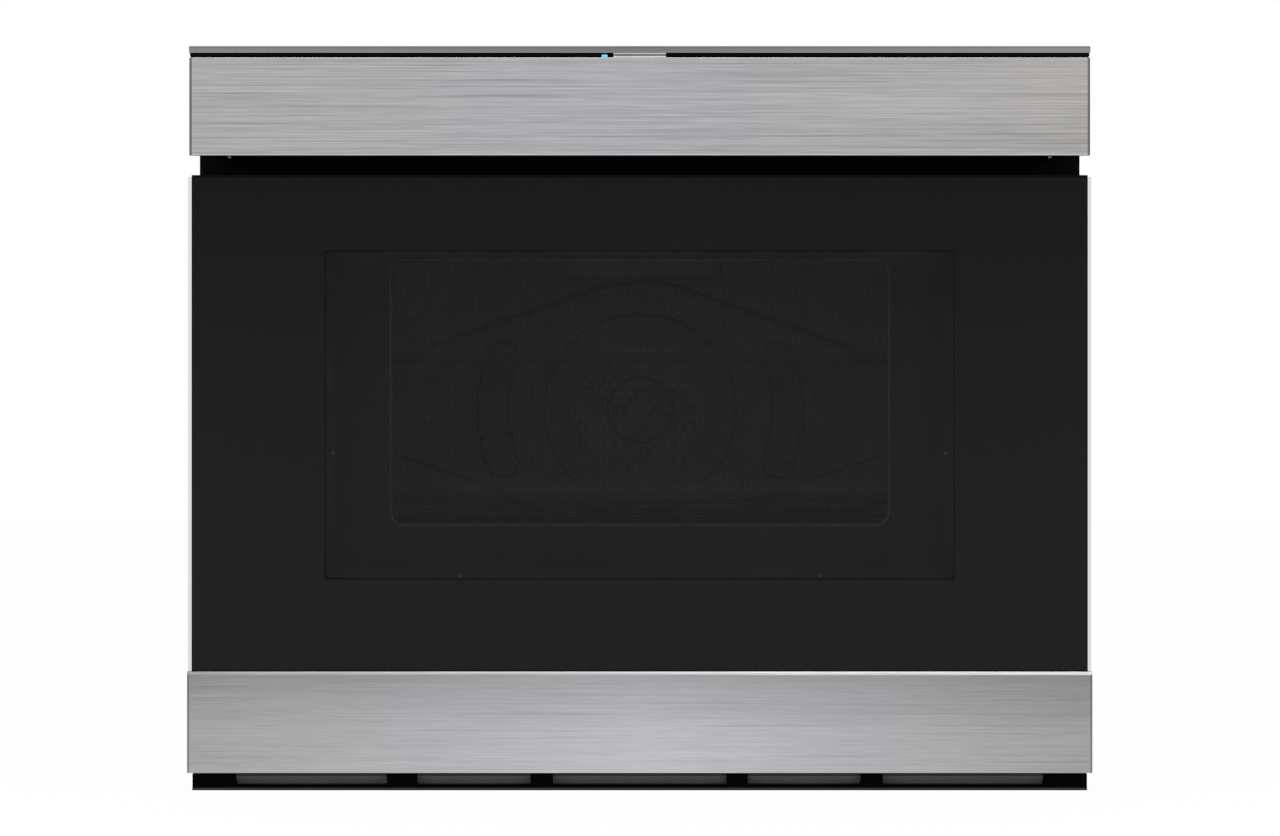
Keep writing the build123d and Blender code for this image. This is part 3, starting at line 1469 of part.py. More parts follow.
# ---- wire rack: two cross bars that rest on the ledges of the pan, with rods from front to back under them
with BuildPart() as wire_rack:
    rod_front_y = rack_y - rack_length / 2
    rod_back_y = rack_y + rack_length / 2
    rack_half = (rack_rod_count - 1) * rack_rod_pitch / 2
    for rack_rod in range(rack_rod_count):
        rod_x = -rack_half + rack_rod * rack_rod_pitch
        rod((rod_x, rod_front_y, rack_rod_z), (rod_x, rod_back_y, rack_rod_z), rack_rod_radius)
    bar_reach = pan_half - pan_sheet - rack_side_gap
    for end in (-1, 1):
        bar_y = rack_y + end * (rack_length / 2 - rack_overhang)
        rod((-bar_reach, bar_y, rack_bar_z), (bar_reach, bar_y, rack_bar_z), rack_bar_radius)
wire_rack.part.label = "wire_rack"
export_step(wire_rack.part, "parts/wire_rack.step")

# ================================================================ control panel
# ---- hinge brackets on the front frame, each with its pin
bracket_drop = 7.8
bracket_step = 8.0
bracket_ramp = 4.0
with BuildPart() as panel_hinges:
    for side_name, side in both_sides:
        plate_start = side * hinge_x - hinge_sheet / 2
        with BuildSketch(side_view(plate_start)):
            with Locations((pivot_y, pivot_z)):
                Circle(hinge_end_radius)
            with BuildLine():
                Polyline(
                    (pivot_y, pivot_z + hinge_end_radius),
                    (frame_front_y, pivot_z + hinge_end_radius),
                    (frame_front_y, pivot_z - bracket_drop),
                    (pivot_y + bracket_step + bracket_ramp, pivot_z - bracket_drop),
                    (pivot_y + bracket_step, pivot_z - hinge_end_radius),
                    (pivot_y, pivot_z - hinge_end_radius),
                    close=True,
                )
            make_face()
        extrude(amount=hinge_sheet)
        pin_start = (side * hinge_x - hinge_pin_length / 2, pivot_y, pivot_z)
        pin_end = (side * hinge_x + hinge_pin_length / 2, pivot_y, pivot_z)
        rod(pin_start, pin_end, hinge_pin_radius)
panel_hinges.part.label = "panel_hinges"
export_step(panel_hinges.part, "parts/panel_hinges.step")

# ---- fascia: a sheet turned back on all four sides, with rounded upright edges
with BuildPart() as fascia:
    with BuildSketch(Plane.XY.offset(fascia_bottom)):
        with Locations((0, front_y + fascia_depth / 2)):
            Rectangle(fascia_width, fascia_depth)
        fillet(vertices().group_by(Axis.Y)[0], radius=fascia_edge_radius)
    extrude(amount=fascia_height)
    fascia_front = fascia.faces().filter_by(Plane.XZ).sort_by(Axis.Y)[0]
    fillet(fascia_front.edges().filter_by(Axis.X), radius=fascia_bend_radius)
    fascia_hollow_half = fascia_width / 2 - front_sheet
    block(
        -fascia_hollow_half,
        fascia_hollow_half,
        front_y + front_sheet,
        front_y + fascia_depth,
        fascia_bottom + front_sheet,
        fascia_top - front_sheet,
        Mode.SUBTRACT,
    )
fascia.part.label = "fascia"
export_step(fascia.part, "parts/fascia.step")

# ---- bezel: the hollow body behind the fascia, with hinge eyes and a recess for the touch glass
bezel_front_y = front_y + front_sheet
bezel_rear_y = frame_front_y - flange_sheet - bezel_rear_gap
bezel_top = fascia_top - front_sheet
bezel_low_gap = 1.0
bezel_bottom = fascia_bottom + front_sheet + bezel_low_gap
bezel_half = bezel_width / 2
slope_gap = 0.3
slope_start_y = front_y + fascia_depth + slope_gap
belly_rise = 9.0
belly_setback = 14.0
belly_y = pivot_y + belly_setback
roof_wall = bezel_wall + touch_recess
eye_width = 7.5
eye_depth = 6.0
eye_rise = 7.0
slot_front_clear = 1.0
slot_top_clear = 1.5
touch_fit = 0.2
touch_corner = 2.0
with BuildPart() as control_bezel:
    with BuildSketch(side_view(-bezel_half)):
        with BuildLine():
            Polyline(
                (bezel_front_y, bezel_bottom),
                (bezel_front_y, bezel_top),
                (slope_start_y, bezel_top),
                (bezel_rear_y, bezel_rear_height),
                (bezel_rear_y, pivot_z + belly_rise),
                (belly_y, bezel_bottom),
                close=True,
            )
        make_face()
    extrude(amount=bezel_width)
    with BuildSketch(side_view(-bezel_half + bezel_wall)):
        with BuildLine():
            Polyline(
                (bezel_front_y + bezel_wall, bezel_bottom + bezel_wall),
                (bezel_front_y + bezel_wall, bezel_top - roof_wall),
                (slope_start_y, bezel_top - roof_wall),
                (bezel_rear_y - bezel_wall, bezel_rear_height - roof_wall),
                (bezel_rear_y - bezel_wall, pivot_z + belly_rise + bezel_wall / 2),
                (belly_y - bezel_wall / 2, bezel_bottom + bezel_wall),
                close=True,
            )
        make_face()
    extrude(amount=bezel_width - 2 * bezel_wall, mode=Mode.SUBTRACT)
    for side_name, side in both_sides:
        hinge_middle = side * hinge_x
        eye_reach = hinge_sheet / 2 + hinge_slot_gap + eye_width
        block(
            hinge_middle - eye_reach,
            hinge_middle + eye_reach,
            bezel_front_y + bezel_wall,
            pivot_y + eye_depth,
            bezel_bottom,
            pivot_z + eye_rise,
        )
        block(
            hinge_middle - hinge_sheet / 2 - hinge_slot_gap,
            hinge_middle + hinge_sheet / 2 + hinge_slot_gap,
            pivot_y - hinge_end_radius - slot_front_clear,
            bezel_rear_y,
            bezel_bottom,
            pivot_z + hinge_end_radius + slot_top_clear,
            Mode.SUBTRACT,
        )
        rod(
            (hinge_middle - eye_reach, pivot_y, pivot_z),
            (hinge_middle + eye_reach, pivot_y, pivot_z),
            hinge_pin_radius + running_clearance,
            Mode.SUBTRACT,
        )
    slope_middle = (0, (slope_start_y + bezel_rear_y) / 2, (bezel_top + bezel_rear_height) / 2)
    slope_normal = (0, bezel_top - bezel_rear_height, bezel_rear_y - slope_start_y)
    slope_plane = Plane(origin=slope_middle, x_dir=(1, 0, 0), z_dir=slope_normal)
    with BuildSketch(slope_plane):
        RectangleRounded(touch_width + 2 * touch_fit, touch_depth + 2 * touch_fit, touch_corner)
    extrude(amount=-touch_recess, mode=Mode.SUBTRACT)
control_bezel.part.label = "control_bezel"
export_step(control_bezel.part, "parts/control_bezel.step")

# ---- touch glass in the recess
with BuildPart() as touch_glass:
    with BuildSketch(slope_plane.offset(-touch_recess)):
        RectangleRounded(touch_width, touch_depth, touch_corner)
    extrude(amount=touch_thickness)
touch_glass.part.label = "touch_glass"
export_step(touch_glass.part, "parts/touch_glass.step")

# ---- display board inside the bezel, on posts behind its front wall
display_half = 130.0
display_height = 38.0
display_rise = 9.2
display_post = 4.0
display_post_radius = 2.5
display_post_inset = 7.0
driver_chip = 20.0
driver_chip_height = 4.0
with BuildPart() as display_board:
    post_start = bezel_front_y + bezel_wall
    display_front = post_start + display_post
    display_back = display_front + board_sheet
    display_low = pivot_z + display_rise
    display_high = display_low + display_height
    block(-display_half, display_half, display_front, display_back, display_low, display_high)
    for post_x in (-display_half + display_post_inset, display_half - display_post_inset):
        for post_z in (display_low + display_post_inset, display_high - display_post_inset):
            rod((post_x, post_start, post_z), (post_x, display_front, post_z), display_post_radius)
    chip_low = (display_low + display_high - driver_chip) / 2
    chip_back = display_back + driver_chip_height
    block(-driver_chip, driver_chip, display_back, chip_back, chip_low, chip_low + driver_chip)
display_board.part.label = "display_board"
export_step(display_board.part, "parts/display_board.step")

print("pinion turn per millimetre of drawer travel:", round(degrees(1 / pinion_pitch), 4), "degrees")
print("pivot of the control panel: y", round(pivot_y, 3), "z", round(pivot_z, 3))
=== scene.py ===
"""Looks of a built-in microwave drawer: finishes for every solid, and the pieces that need finer shapes."""

import logging
import math
from dataclasses import dataclass
from enum import Enum
from typing import Any, Dict, List, Optional, Sequence, Tuple, Union

import bmesh
import bpy
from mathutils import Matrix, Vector


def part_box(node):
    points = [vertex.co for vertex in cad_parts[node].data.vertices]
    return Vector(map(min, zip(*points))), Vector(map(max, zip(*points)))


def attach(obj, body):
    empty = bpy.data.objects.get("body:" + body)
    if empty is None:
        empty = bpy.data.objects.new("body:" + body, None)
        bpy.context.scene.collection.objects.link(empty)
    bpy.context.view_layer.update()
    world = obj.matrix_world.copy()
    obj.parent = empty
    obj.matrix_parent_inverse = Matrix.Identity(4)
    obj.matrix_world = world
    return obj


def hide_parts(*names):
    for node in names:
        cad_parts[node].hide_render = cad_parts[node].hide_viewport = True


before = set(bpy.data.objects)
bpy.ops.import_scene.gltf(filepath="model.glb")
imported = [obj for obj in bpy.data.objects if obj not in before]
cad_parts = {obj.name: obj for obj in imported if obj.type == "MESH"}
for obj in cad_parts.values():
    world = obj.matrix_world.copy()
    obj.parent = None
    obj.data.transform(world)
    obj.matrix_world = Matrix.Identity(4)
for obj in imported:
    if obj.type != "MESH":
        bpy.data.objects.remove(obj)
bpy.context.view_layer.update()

log = logging.getLogger("microwave_drawer")

Point = Tuple[float, float, float]
Colour = Tuple[float, float, float]
Scale = Union[float, Point]
Outline = List[Tuple[float, float]]
Levels = Tuple[Tuple[float, float], ...]
Material = bpy.types.Material
Object = bpy.types.Object

MM = 0.001
FULL_TURN = 2 * math.pi
UPRIGHT = (math.pi / 2, 0.0, 0.0)
# the names of the two sides, with the sign of their x
SIDES = (("left", -1), ("right", 1))


class Body(Enum):
    """The bodies that pieces ride on."""

    CASE = "case"
    DRAWER = "drawer"
    CONTROL_PANEL = "control_panel"


# ---------------------------------------------------------------- node trees
class Link:
    """A socket of a node tree, with arithmetic that adds Math nodes to the tree."""

    def __init__(self, plan: "NodePlan", socket: bpy.types.NodeSocket) -> None:
        """Keeps the tree and the socket."""
        self.plan = plan
        self.socket = socket

    def maths(self, operation: str, *others: Any) -> "Link":
        """Adds a Math node that starts with this value, and returns its result."""
        inputs = dict(enumerate((self, *others)))
        return self.plan.node("ShaderNodeMath", {"operation": operation}, inputs)

    def __add__(self, other: Any) -> "Link":
        """This plus other."""
        return self.maths("ADD", other)

    __radd__ = __add__

    def __sub__(self, other: Any) -> "Link":
        """This minus other."""
        return self.maths("SUBTRACT", other)

    def __rsub__(self, other: float) -> "Link":
        """A number minus this."""
        return self.plan.node("ShaderNodeMath", {"operation": "SUBTRACT"}, {0: other, 1: self})

    def __mul__(self, other: Any) -> "Link":
        """This times other."""
        return self.maths("MULTIPLY", other)

    __rmul__ = __mul__

    def __truediv__(self, other: Any) -> "Link":
        """This divided by other."""
        return self.maths("DIVIDE", other)

    def __gt__(self, other: Any) -> "Link":
        """1 where this is greater than other, else 0."""
        return self.maths("GREATER_THAN", other)

    def __lt__(self, other: Any) -> "Link":
        """1 where this is less than other, else 0."""
        return self.maths("LESS_THAN", other)

    def __abs__(self) -> "Link":
        """The size of this without its sign."""
        return self.maths("ABSOLUTE")


class NodePlan:
    """A node tree that is built one node at a time."""

    def __init__(self, tree: bpy.types.NodeTree) -> None:
        """Keeps the tree."""
        self.tree = tree

    def node(
        self,
        kind: str,
        settings: Optional[Dict[str, Any]] = None,
        inputs: Optional[Dict[Any, Any]] = None,
        output: Union[int, str] = 0,
    ) -> Link:
        """Adds a node.

        Args:
            kind: the node's type.
            settings: its properties, set first; "stops" holds a colour ramp's (place, colour) pairs.
            inputs: a value or a Link for each of its sockets, by name or index.
            output: the socket that is returned.

        Returns:
            That socket as a Link.
        """
        made = self.tree.nodes.new(kind)
        for key, value in (settings or {}).items():
            if key == "stops":
                self._set_stops(made, value)
            else:
                setattr(made, key, value)
        for key, value in (inputs or {}).items():
            self.feed(made.inputs[key], value)
        return Link(self, made.outputs[output])

    def feed(self, socket: bpy.types.NodeSocket, value: Any) -> None:
        """Gives one input socket a value or a link.

        Args:
            socket: the input.
            value: the value or the Link.
        """
        if isinstance(value, Link):
            self.tree.links.new(value.socket, socket)
        else:
            socket.default_value = value

    @staticmethod
    def _set_stops(ramp: bpy.types.Node, stops: Sequence[Tuple[float, Colour]]) -> None:
        """Gives a colour ramp its stops.

        Args:
            ramp: the colour ramp.
            stops: a (place, colour) pair for each of them.
        """
        elements = ramp.color_ramp.elements
        while len(elements) < len(stops):
            elements.new(1.0)
        for element, (place, colour) in zip(elements, stops):
            element.position = place
            element.color = (*colour, 1.0)


class Finish:
    """A material's node tree round one Principled shader, with the patterns that finishes share."""

    def __init__(self, name: str) -> None:
        """Starts an empty material with a Principled shader.

        Args:
            name: the material's name.
        """
        self.material = bpy.data.materials.new(name)
        self.material.use_nodes = True
        tree = self.material.node_tree
        tree.nodes.clear()
        self.plan = NodePlan(tree)
        self.shader = tree.nodes.new("ShaderNodeBsdfPrincipled")
        self.outlet = tree.nodes.new("ShaderNodeOutputMaterial")
        tree.links.new(self.shader.outputs[0], self.outlet.inputs["Surface"])
        self.place = self.plan.node("ShaderNodeTexCoord", output="Object")

    def set(self, socket: str, value: Any) -> None:
        """Sets one socket of the shader to a number, a colour or a link."""
        self.plan.feed(self.shader.inputs[socket], (*value, 1.0) if isinstance(value, tuple) else value)

    def axis(self, name: str) -> Link:
        """One coordinate of the surface point in metres: "X", "Y" or "Z"."""
        return self.plan.node("ShaderNodeSeparateXYZ", inputs={0: self.place}, output=name)

    def scaled(self, scale: Scale) -> Link:
        """Object coordinates times one scale, or one for each axis."""
        each = scale if isinstance(scale, tuple) else (scale,) * 3
        return self.plan.node("ShaderNodeMapping", inputs={"Vector": self.place, "Scale": each})

    def noise(self, scale: Scale, detail: float = 3.0, roughness: float = 0.55) -> Link:
        """Noise from 0 to 1 over scaled coordinates, one cell per unit."""
        inputs = {"Vector": self.scaled(scale), "Scale": 1.0, "Detail": detail, "Roughness": roughness}
        return self.plan.node("ShaderNodeTexNoise", inputs=inputs)

    def cells(self, scale: Scale, output: str = "Distance") -> Link:
        """Voronoi cells over scaled coordinates."""
        inputs = {"Vector": self.scaled(scale), "Scale": 1.0}
        return self.plan.node("ShaderNodeTexVoronoi", inputs=inputs, output=output)

    def waves(self, direction: str, scale: Point, distortion: float) -> Link:
        """Bands from 0 to 1 across one axis."""
        inputs = {"Vector": self.scaled(scale), "Scale": 1.0, "Distortion": distortion}
        return self.plan.node("ShaderNodeTexWave", {"bands_direction": direction}, inputs, output="Fac")

    def ramp(self, value: Link, *stops: Tuple[float, Colour]) -> Link:
        """A colour ramp over a value."""
        return self.plan.node("ShaderNodeValToRGB", {"stops": stops}, {"Fac": value})

    def spread(self, value: Link, low: float, high: float, new_low: float, new_high: float) -> Link:
        """Maps a value from one range to another, and keeps it there."""
        inputs = {0: value, 1: low, 2: high, 3: new_low, 4: new_high}
        return self.plan.node("ShaderNodeMapRange", {"clamp": True}, inputs)

    def soft(self, noise: Link, low: float, high: float) -> Link:
        """Maps the middle of a noise's range, where most of it lies, to two values."""
        return self.spread(noise, 0.3, 0.7, low, high)

    def switch(self, mask: Link, off: float, on: float) -> Link:
        """One value where a mask is 0, another where it is 1."""
        return self.spread(mask, 0.0, 1.0, off, on)

    def by_height(self, levels: Levels, share: float = 1.0) -> Link:
        """A grey that changes with the height.

        Args:
            levels: (height, grey) pairs, from the lowest to the highest.
            share: what each grey is multiplied by, so that it fits into a ramp.

        Returns:
            The grey.
        """
        low, high = levels[0][0], levels[-1][0]
        stops = [((height - low) / (high - low), (level * share,) * 3) for height, level in levels]
        return self.ramp(self.spread(self.axis("Z"), low, high, 0.0, 1.0), *stops)

    def grey(self, colour: Link) -> Link:
        """A colour as one number."""
        return self.plan.node("ShaderNodeRGBToBW", inputs={0: colour})

    def mix(self, share: Link, first: Any, second: Any) -> Link:
        """Mixes two colours.

        Args:
            share: how much the second counts, from 0 to 1.
            first: a colour or a link.
            second: a colour or a link.

        Returns:
            The mixed colour.
        """
        first, second = ((*c, 1.0) if isinstance(c, tuple) else c for c in (first, second))
        inputs = {0: share, 6: first, 7: second}
        return self.plan.node("ShaderNodeMix", {"data_type": "RGBA"}, inputs, output=2)

    def scale_colour(self, colour: Any, value: Any) -> Link:
        """A colour times a number."""
        return self.plan.node("ShaderNodeVectorMath", {"operation": "SCALE"}, {0: colour, "Scale": value})

    def bump(self, height: Link, strength: float, depth: float) -> None:
        """Lets a height pattern from 0 to 1 dent the surface: strength is its share, depth is in metres."""
        inputs = {"Strength": strength, "Distance": depth, "Height": height}
        self.set("Normal", self.plan.node("ShaderNodeBump", inputs=inputs))


# ---------------------------------------------------------------- finishes
def tinted(colour: Colour, gain: float, lift: float = 0.0) -> Colour:
    """A colour times a gain plus a lift, no part of it over 1."""
    return tuple(min(1.0, gain * c + lift) for c in colour)


@dataclass(frozen=True)
class Look:
    """A named finish."""

    name: str

    def make(self) -> Material:
        """Builds the material.

        Returns:
            The material.
        """
        f = Finish(self.name)
        self.lay(f)
        return f.material

    def lay(self, f: Finish) -> None:
        """Adds the nodes, which differ from one kind of look to the next."""
        raise NotImplementedError


@dataclass(frozen=True)
class BrushedSteel(Look):
    """Brushed sheet with a straight grain along the width.

    Its tone runs from left over middle to right, a painted reflection, and is multiplied by a level for each
    height, which paints highlights and shade. At both ends a strip as wide as edge has painted shade, and
    above bend_z the tone is the painted highlight of the rounded bend.
    """

    left: Colour = (0.40, 0.40, 0.41)
    middle: Colour = (0.40, 0.40, 0.41)
    right: Colour = (0.40, 0.40, 0.41)
    half_width: float = 0.3
    levels: Levels = ((0.0, 1.0), (1.0, 1.0))
    edge: float = 0.0013
    edge_shade: float = 1.0
    contrast: float = 0.10
    roughness: float = 0.34
    bend_z: float = 1.0
    bend_highlight_tone: Colour = (0.40, 0.40, 0.40)
    bend_highlight_left: float = 1.0
    bend_highlight_right: float = 1.0
    long_grain: Point = (5.0, 860.0, 860.0)
    short_grain: Point = (28.0, 1500.0, 1500.0)
    scratch_grain: Point = (5.0, 540.0, 540.0)
    broad_grain: Point = (2.0, 70.0, 70.0)

    def lay(self, f: Finish) -> None:
        """Adds the grain, the painted light and shade, and the bend's painted highlight.

        Args:
            f: the finish that takes the nodes.
        """
        half = self.half_width
        x = f.axis("X")
        streak = f.noise(self.long_grain, 3.0, 0.65) * 0.6 + f.noise(self.short_grain, 2.0, 0.5) * 0.4
        scratch = f.spread(f.noise(self.scratch_grain, 1.0), 0.62, 0.72, 0.0, self.contrast)
        grain = f.spread(streak, 0.36, 0.64, 1.0 - self.contrast, 1.0 + self.contrast) - scratch
        # painted highlights and shade by height
        level = f.grey(f.by_height(self.levels, 0.5)) * 2.0
        # painted shade along the rounded side edges
        rim = 1.0 - (abs(x) > (half - self.edge)) * (1.0 - self.edge_shade)
        broad = f.soft(f.noise(self.broad_grain, 2.0), 0.97, 1.03)
        # painted reflection: the tone changes across the width
        across = f.spread(x, -half, half, 0.0, 1.0)
        tone = f.ramp(across, (0.0, self.left), (0.5, self.middle), (1.0, self.right))
        sheet = f.scale_colour(tone, grain * level * rim * broad)
        # painted highlight on the rounded bend, stronger towards one end
        highlight_across = f.spread(x, -half, half, self.bend_highlight_left, self.bend_highlight_right)
        bend = f.scale_colour(self.bend_highlight_tone, grain * level * highlight_across)
        f.set("Base Color", f.mix(f.axis("Z") > self.bend_z, sheet, bend))
        f.set("Metallic", 1.0)
        f.set("Roughness", f.soft(streak, self.roughness + 0.06, self.roughness - 0.05))
        f.bump(streak, 0.10, 0.00004)


@dataclass(frozen=True)
class ZincSheet(Look):
    """Zinc-coated sheet steel with a faint spangle."""

    tone: Colour = (0.46, 0.47, 0.48)
    spangle: float = 130.0

    def lay(self, f: Finish) -> None:
        """Adds the spangle and the smears over it.

        Args:
            f: the finish that takes the nodes.
        """
        flakes = f.grey(f.cells(self.spangle, "Color"))
        smear = f.noise(9.0, 5.0)
        shade = f.spread(flakes * 0.55 + smear * 0.45, 0.25, 0.75, 0.86, 1.07)
        f.set("Base Color", f.scale_colour(self.tone, shade))
        f.set("Metallic", 0.9)
        f.set("Roughness", f.spread(flakes + smear, 0.5, 1.5, 0.42, 0.58))
        f.bump(f.noise(700.0, 2.0), 0.08, 0.00003)


@dataclass(frozen=True)
class Enamel(Look):
    """Baked paint or enamel, with an orange-peel surface and optional speckles."""

    tone: Colour
    roughness: float = 0.42
    speckle: float = 0.0
    specular: float = 0.5

    def lay(self, f: Finish) -> None:
        """Adds the cloudy tone, the speckles and the orange peel.

        Args:
            f: the finish that takes the nodes.
        """
        cloud = f.noise(12.0, 4.0)
        base = f.mix(f.soft(cloud, 0.0, 1.0), tinted(self.tone, 0.86), tinted(self.tone, 1.12))
        if self.speckle > 0.0:
            base = f.mix(f.cells(850.0) < self.speckle, base, tinted(self.tone, 2.6, 0.05))
        f.set("Base Color", base)
        f.set("Roughness", f.soft(cloud, self.roughness - 0.04, self.roughness + 0.05))
        f.set("Specular IOR Level", self.specular)
        f.bump(f.noise(1400.0, 2.0), 0.10, 0.00003)


@dataclass(frozen=True)
class Moulded(Look):
    """Moulded plastic with a fine eroded texture."""

    tone: Colour
    roughness: float = 0.5
    grain: float = 1600.0

    def lay(self, f: Finish) -> None:
        """Adds the worn tone and the eroded texture.

        Args:
            f: the finish that takes the nodes.
        """
        cloud = f.noise(25.0)
        worn = tinted(self.tone, 1.18, 0.002)
        f.set("Base Color", f.mix(f.spread(cloud, 0.35, 0.75, 0.0, 1.0), self.tone, worn))
        f.set("Roughness", f.soft(cloud, self.roughness - 0.05, self.roughness + 0.06))
        f.bump(f.cells(self.grain), 0.16, 0.00005)


@dataclass(frozen=True)
class CastMetal(Look):
    """Bare aluminium, plated cans or chromed wire: metal with soft smears, painted shade behind front_y."""

    tone: Colour
    roughness: float = 0.3
    metallic: float = 1.0
    smear: float = 0.1
    lines: Scale = 40.0
    front_y: float = 1.0
    behind: float = 1.0
    step_y: float = 0.0008

    def lay(self, f: Finish) -> None:
        """Adds the smears and the shade.

        Args:
            f: the finish that takes the nodes.
        """
        marks = f.noise(self.lines, 4.0, 0.6)
        shade = f.soft(marks, 1.0 - self.smear, 1.0 + 0.6 * self.smear)
        # painted shade on faces behind front_y
        shade = shade * f.spread(f.axis("Y"), self.front_y, self.front_y + self.step_y, 1.0, self.behind)
        f.set("Base Color", f.scale_colour(self.tone, shade))
        f.set("Metallic", self.metallic)
        f.set("Roughness", f.soft(marks, self.roughness + 0.06, self.roughness - 0.05))
        f.bump(marks, 0.06, 0.00004)


@dataclass(frozen=True)
class DarkCoat(Look):
    """Matt paint or plastic with a tone for each height, by default the same black at all."""

    levels: Levels = ((0.0, 0.003), (0.5, 0.003))
    roughness: float = 0.75
    specular: float = 0.05

    def lay(self, f: Finish) -> None:
        """Adds the tones and a fine grain.

        Args:
            f: the finish that takes the nodes.
        """
        cloud = f.noise(30.0)
        shade = f.soft(cloud, 0.93, 1.07) * self.shade(f)
        f.set("Base Color", f.scale_colour(f.by_height(self.levels), shade))
        f.set("Roughness", f.soft(cloud, self.roughness - 0.05, self.roughness + 0.05))
        f.set("Specular IOR Level", self.specular)
        f.bump(f.noise(1500.0, 2.0), 0.10, 0.00003)

    def shade(self, f: Finish) -> Any:
        """What the tone is multiplied by: nothing more here."""
        return 1.0


@dataclass(frozen=True)
class ScreenPaint(DarkCoat):
    """Paint of the mesh screen, with painted light at the rim where the printed glass shades it."""

    half_width: float = 0.2
    low_z: float = 0.1
    high_z: float = 0.3
    reach: float = 0.014
    gain: float = 1.1

    def shade(self, f: Finish) -> Link:
        """Works out how much painted light the rim gets.

        Args:
            f: the finish that takes the nodes.

        Returns:
            1 in the middle, and more towards the rim.
        """
        middle = (self.low_z + self.high_z) / 2
        from_side = self.half_width - abs(f.axis("X"))
        from_end = (self.high_z - self.low_z) / 2 - abs(f.axis("Z") - middle)
        # painted light towards the rim, against the shade of the printed glass
        near = f.spread(from_side.maths("MINIMUM", from_end), 0.0, self.reach, 1.0, 0.0)
        return near * near * self.gain + 1.0


@dataclass(frozen=True)
class HingeMetal(Look):
    """Steel arm coloured black as painted shade of its recess, bare at its upper front tip."""

    bare_y: float = -0.2975
    bare_z: float = 0.4240
    steel: Colour = (0.52, 0.52, 0.525)
    # black for the shade of the dark recess: painted shade
    paint: Colour = (0.004, 0.004, 0.004)
    ragged: float = 0.0002

    def lay(self, f: Finish) -> None:
        """Adds the steel, and the black of painted shade with its ragged edge.

        Args:
            f: the finish that takes the nodes.
        """
        mottle_and_shade_edge = f.noise(120.0, 4.0, 0.6)
        edge = f.axis("Y") + f.soft(mottle_and_shade_edge, -self.ragged, self.ragged)
        # painted shade: black but for the bare upper front tip
        shaded_black = 1.0 - (edge < self.bare_y) * (f.axis("Z") > self.bare_z)
        bare = f.scale_colour(self.steel, f.soft(mottle_and_shade_edge, 0.85, 1.1))
        f.set("Base Color", f.mix(shaded_black, bare, self.paint))
        f.set("Roughness", f.switch(shaded_black, 0.35, 0.8))
        f.set("Metallic", f.switch(shaded_black, 0.3, 0.0))
        f.set("Specular IOR Level", 0.1)
        f.bump(mottle_and_shade_edge, 0.06, 0.00004)


@dataclass(frozen=True)
class PrintedGlass(Look):
    """Black front glass: printed all over its back but for the window, where it is only tinted."""

    half_width: float
    low_z: float
    high_z: float
    # the print's tones by height are painted light, lighter towards the bottom
    levels: Levels = ((0.080, 0.0082), (0.16, 0.0082), (0.30, 0.0060), (0.411, 0.0028))
    tint_alpha: float = 0.40
    index: float = 1.2
    line: float = 0.0009
    line_shade: float = 0.35

    def lay(self, f: Finish) -> None:
        """Adds the print with its painted light by height, the darker line round the window and the tint in
        it.

        Args:
            f: the finish that takes the nodes.
        """
        middle = (self.low_z + self.high_z) / 2
        half_height = (self.high_z - self.low_z) / 2
        past_side = abs(f.axis("X")) - self.half_width
        beyond = past_side.maths("MAXIMUM", abs(f.axis("Z") - middle) - half_height)
        inside = beyond < 0.0
        shade = 1.0 - (beyond < self.line) * (1.0 - inside) * (1.0 - self.line_shade)
        haze = f.soft(f.noise(4.0), 0.93, 1.07)
        f.set("Base Color", f.scale_colour(f.by_height(self.levels), haze * shade))
        f.set("Roughness", f.soft(f.noise(18.0, 5.0), 0.03, 0.07))
        f.set("IOR", self.index)
        f.set("Alpha", 1.0 - inside * (1.0 - self.tint_alpha))


@dataclass(frozen=True)
class ClearPane(Look):
    """Clear toughened glass, seen as a faint sheen over what lies behind it."""

    tone: Colour = (0.78, 0.79, 0.79)
    alpha: float = 0.12

    def lay(self, f: Finish) -> None:
        """Adds the sheen.

        Args:
            f: the finish that takes the nodes.
        """
        film = f.noise(14.0, 4.0)
        f.set("Base Color", self.tone)
        f.set("Roughness", f.soft(film, 0.03, 0.10))
        f.set("Alpha", f.soft(film, self.alpha - 0.03, self.alpha + 0.03))


@dataclass(frozen=True)
class GlossBlack(Look):
    """Dark glass or glass ceramic with a polished face."""

    tone: Colour = (0.012, 0.012, 0.014)
    roughness: float = 0.08
    flecks: float = 0.0
    fleck_tone: Colour = (0.12, 0.12, 0.13)

    def lay(self, f: Finish) -> None:
        """Adds the haze and the flecks.

        Args:
            f: the finish that takes the nodes.
        """
        haze = f.noise(10.0, 4.0)
        base = f.mix(f.soft(haze, 0.0, 1.0), self.tone, tinted(self.tone, 1.3))
        if self.flecks > 0.0:
            base = f.mix(f.cells(420.0) < self.flecks, base, self.fleck_tone)
        f.set("Base Color", base)
        f.set("Roughness", f.soft(haze, self.roughness, self.roughness + 0.06))


@dataclass(frozen=True)
class CircuitBoard(Look):
    """A green board with tracks on it, and dark parts that stand beyond one plane."""

    axis: str
    plane: float

    def lay(self, f: Finish) -> None:
        """Adds the board, its tracks and its parts.

        Args:
            f: the finish that takes the nodes.
        """
        bricks = {"Vector": f.scaled(160.0), "Scale": 1.0, "Mortar Size": 0.05}
        tracks = f.plan.node("ShaderNodeTexBrick", {"offset": 0.5}, bricks, output="Fac")
        board = f.mix(tracks, (0.012, 0.085, 0.035), (0.05, 0.20, 0.08))
        chips = f.mix(f.cells(45.0) < 0.35, (0.018, 0.018, 0.02), (0.10, 0.10, 0.11))
        f.set("Base Color", f.mix(f.axis(self.axis) > self.plane, board, chips))
        f.set("Roughness", f.switch(tracks, 0.38, 0.5))
        f.bump(tracks, 0.2, 0.0001)


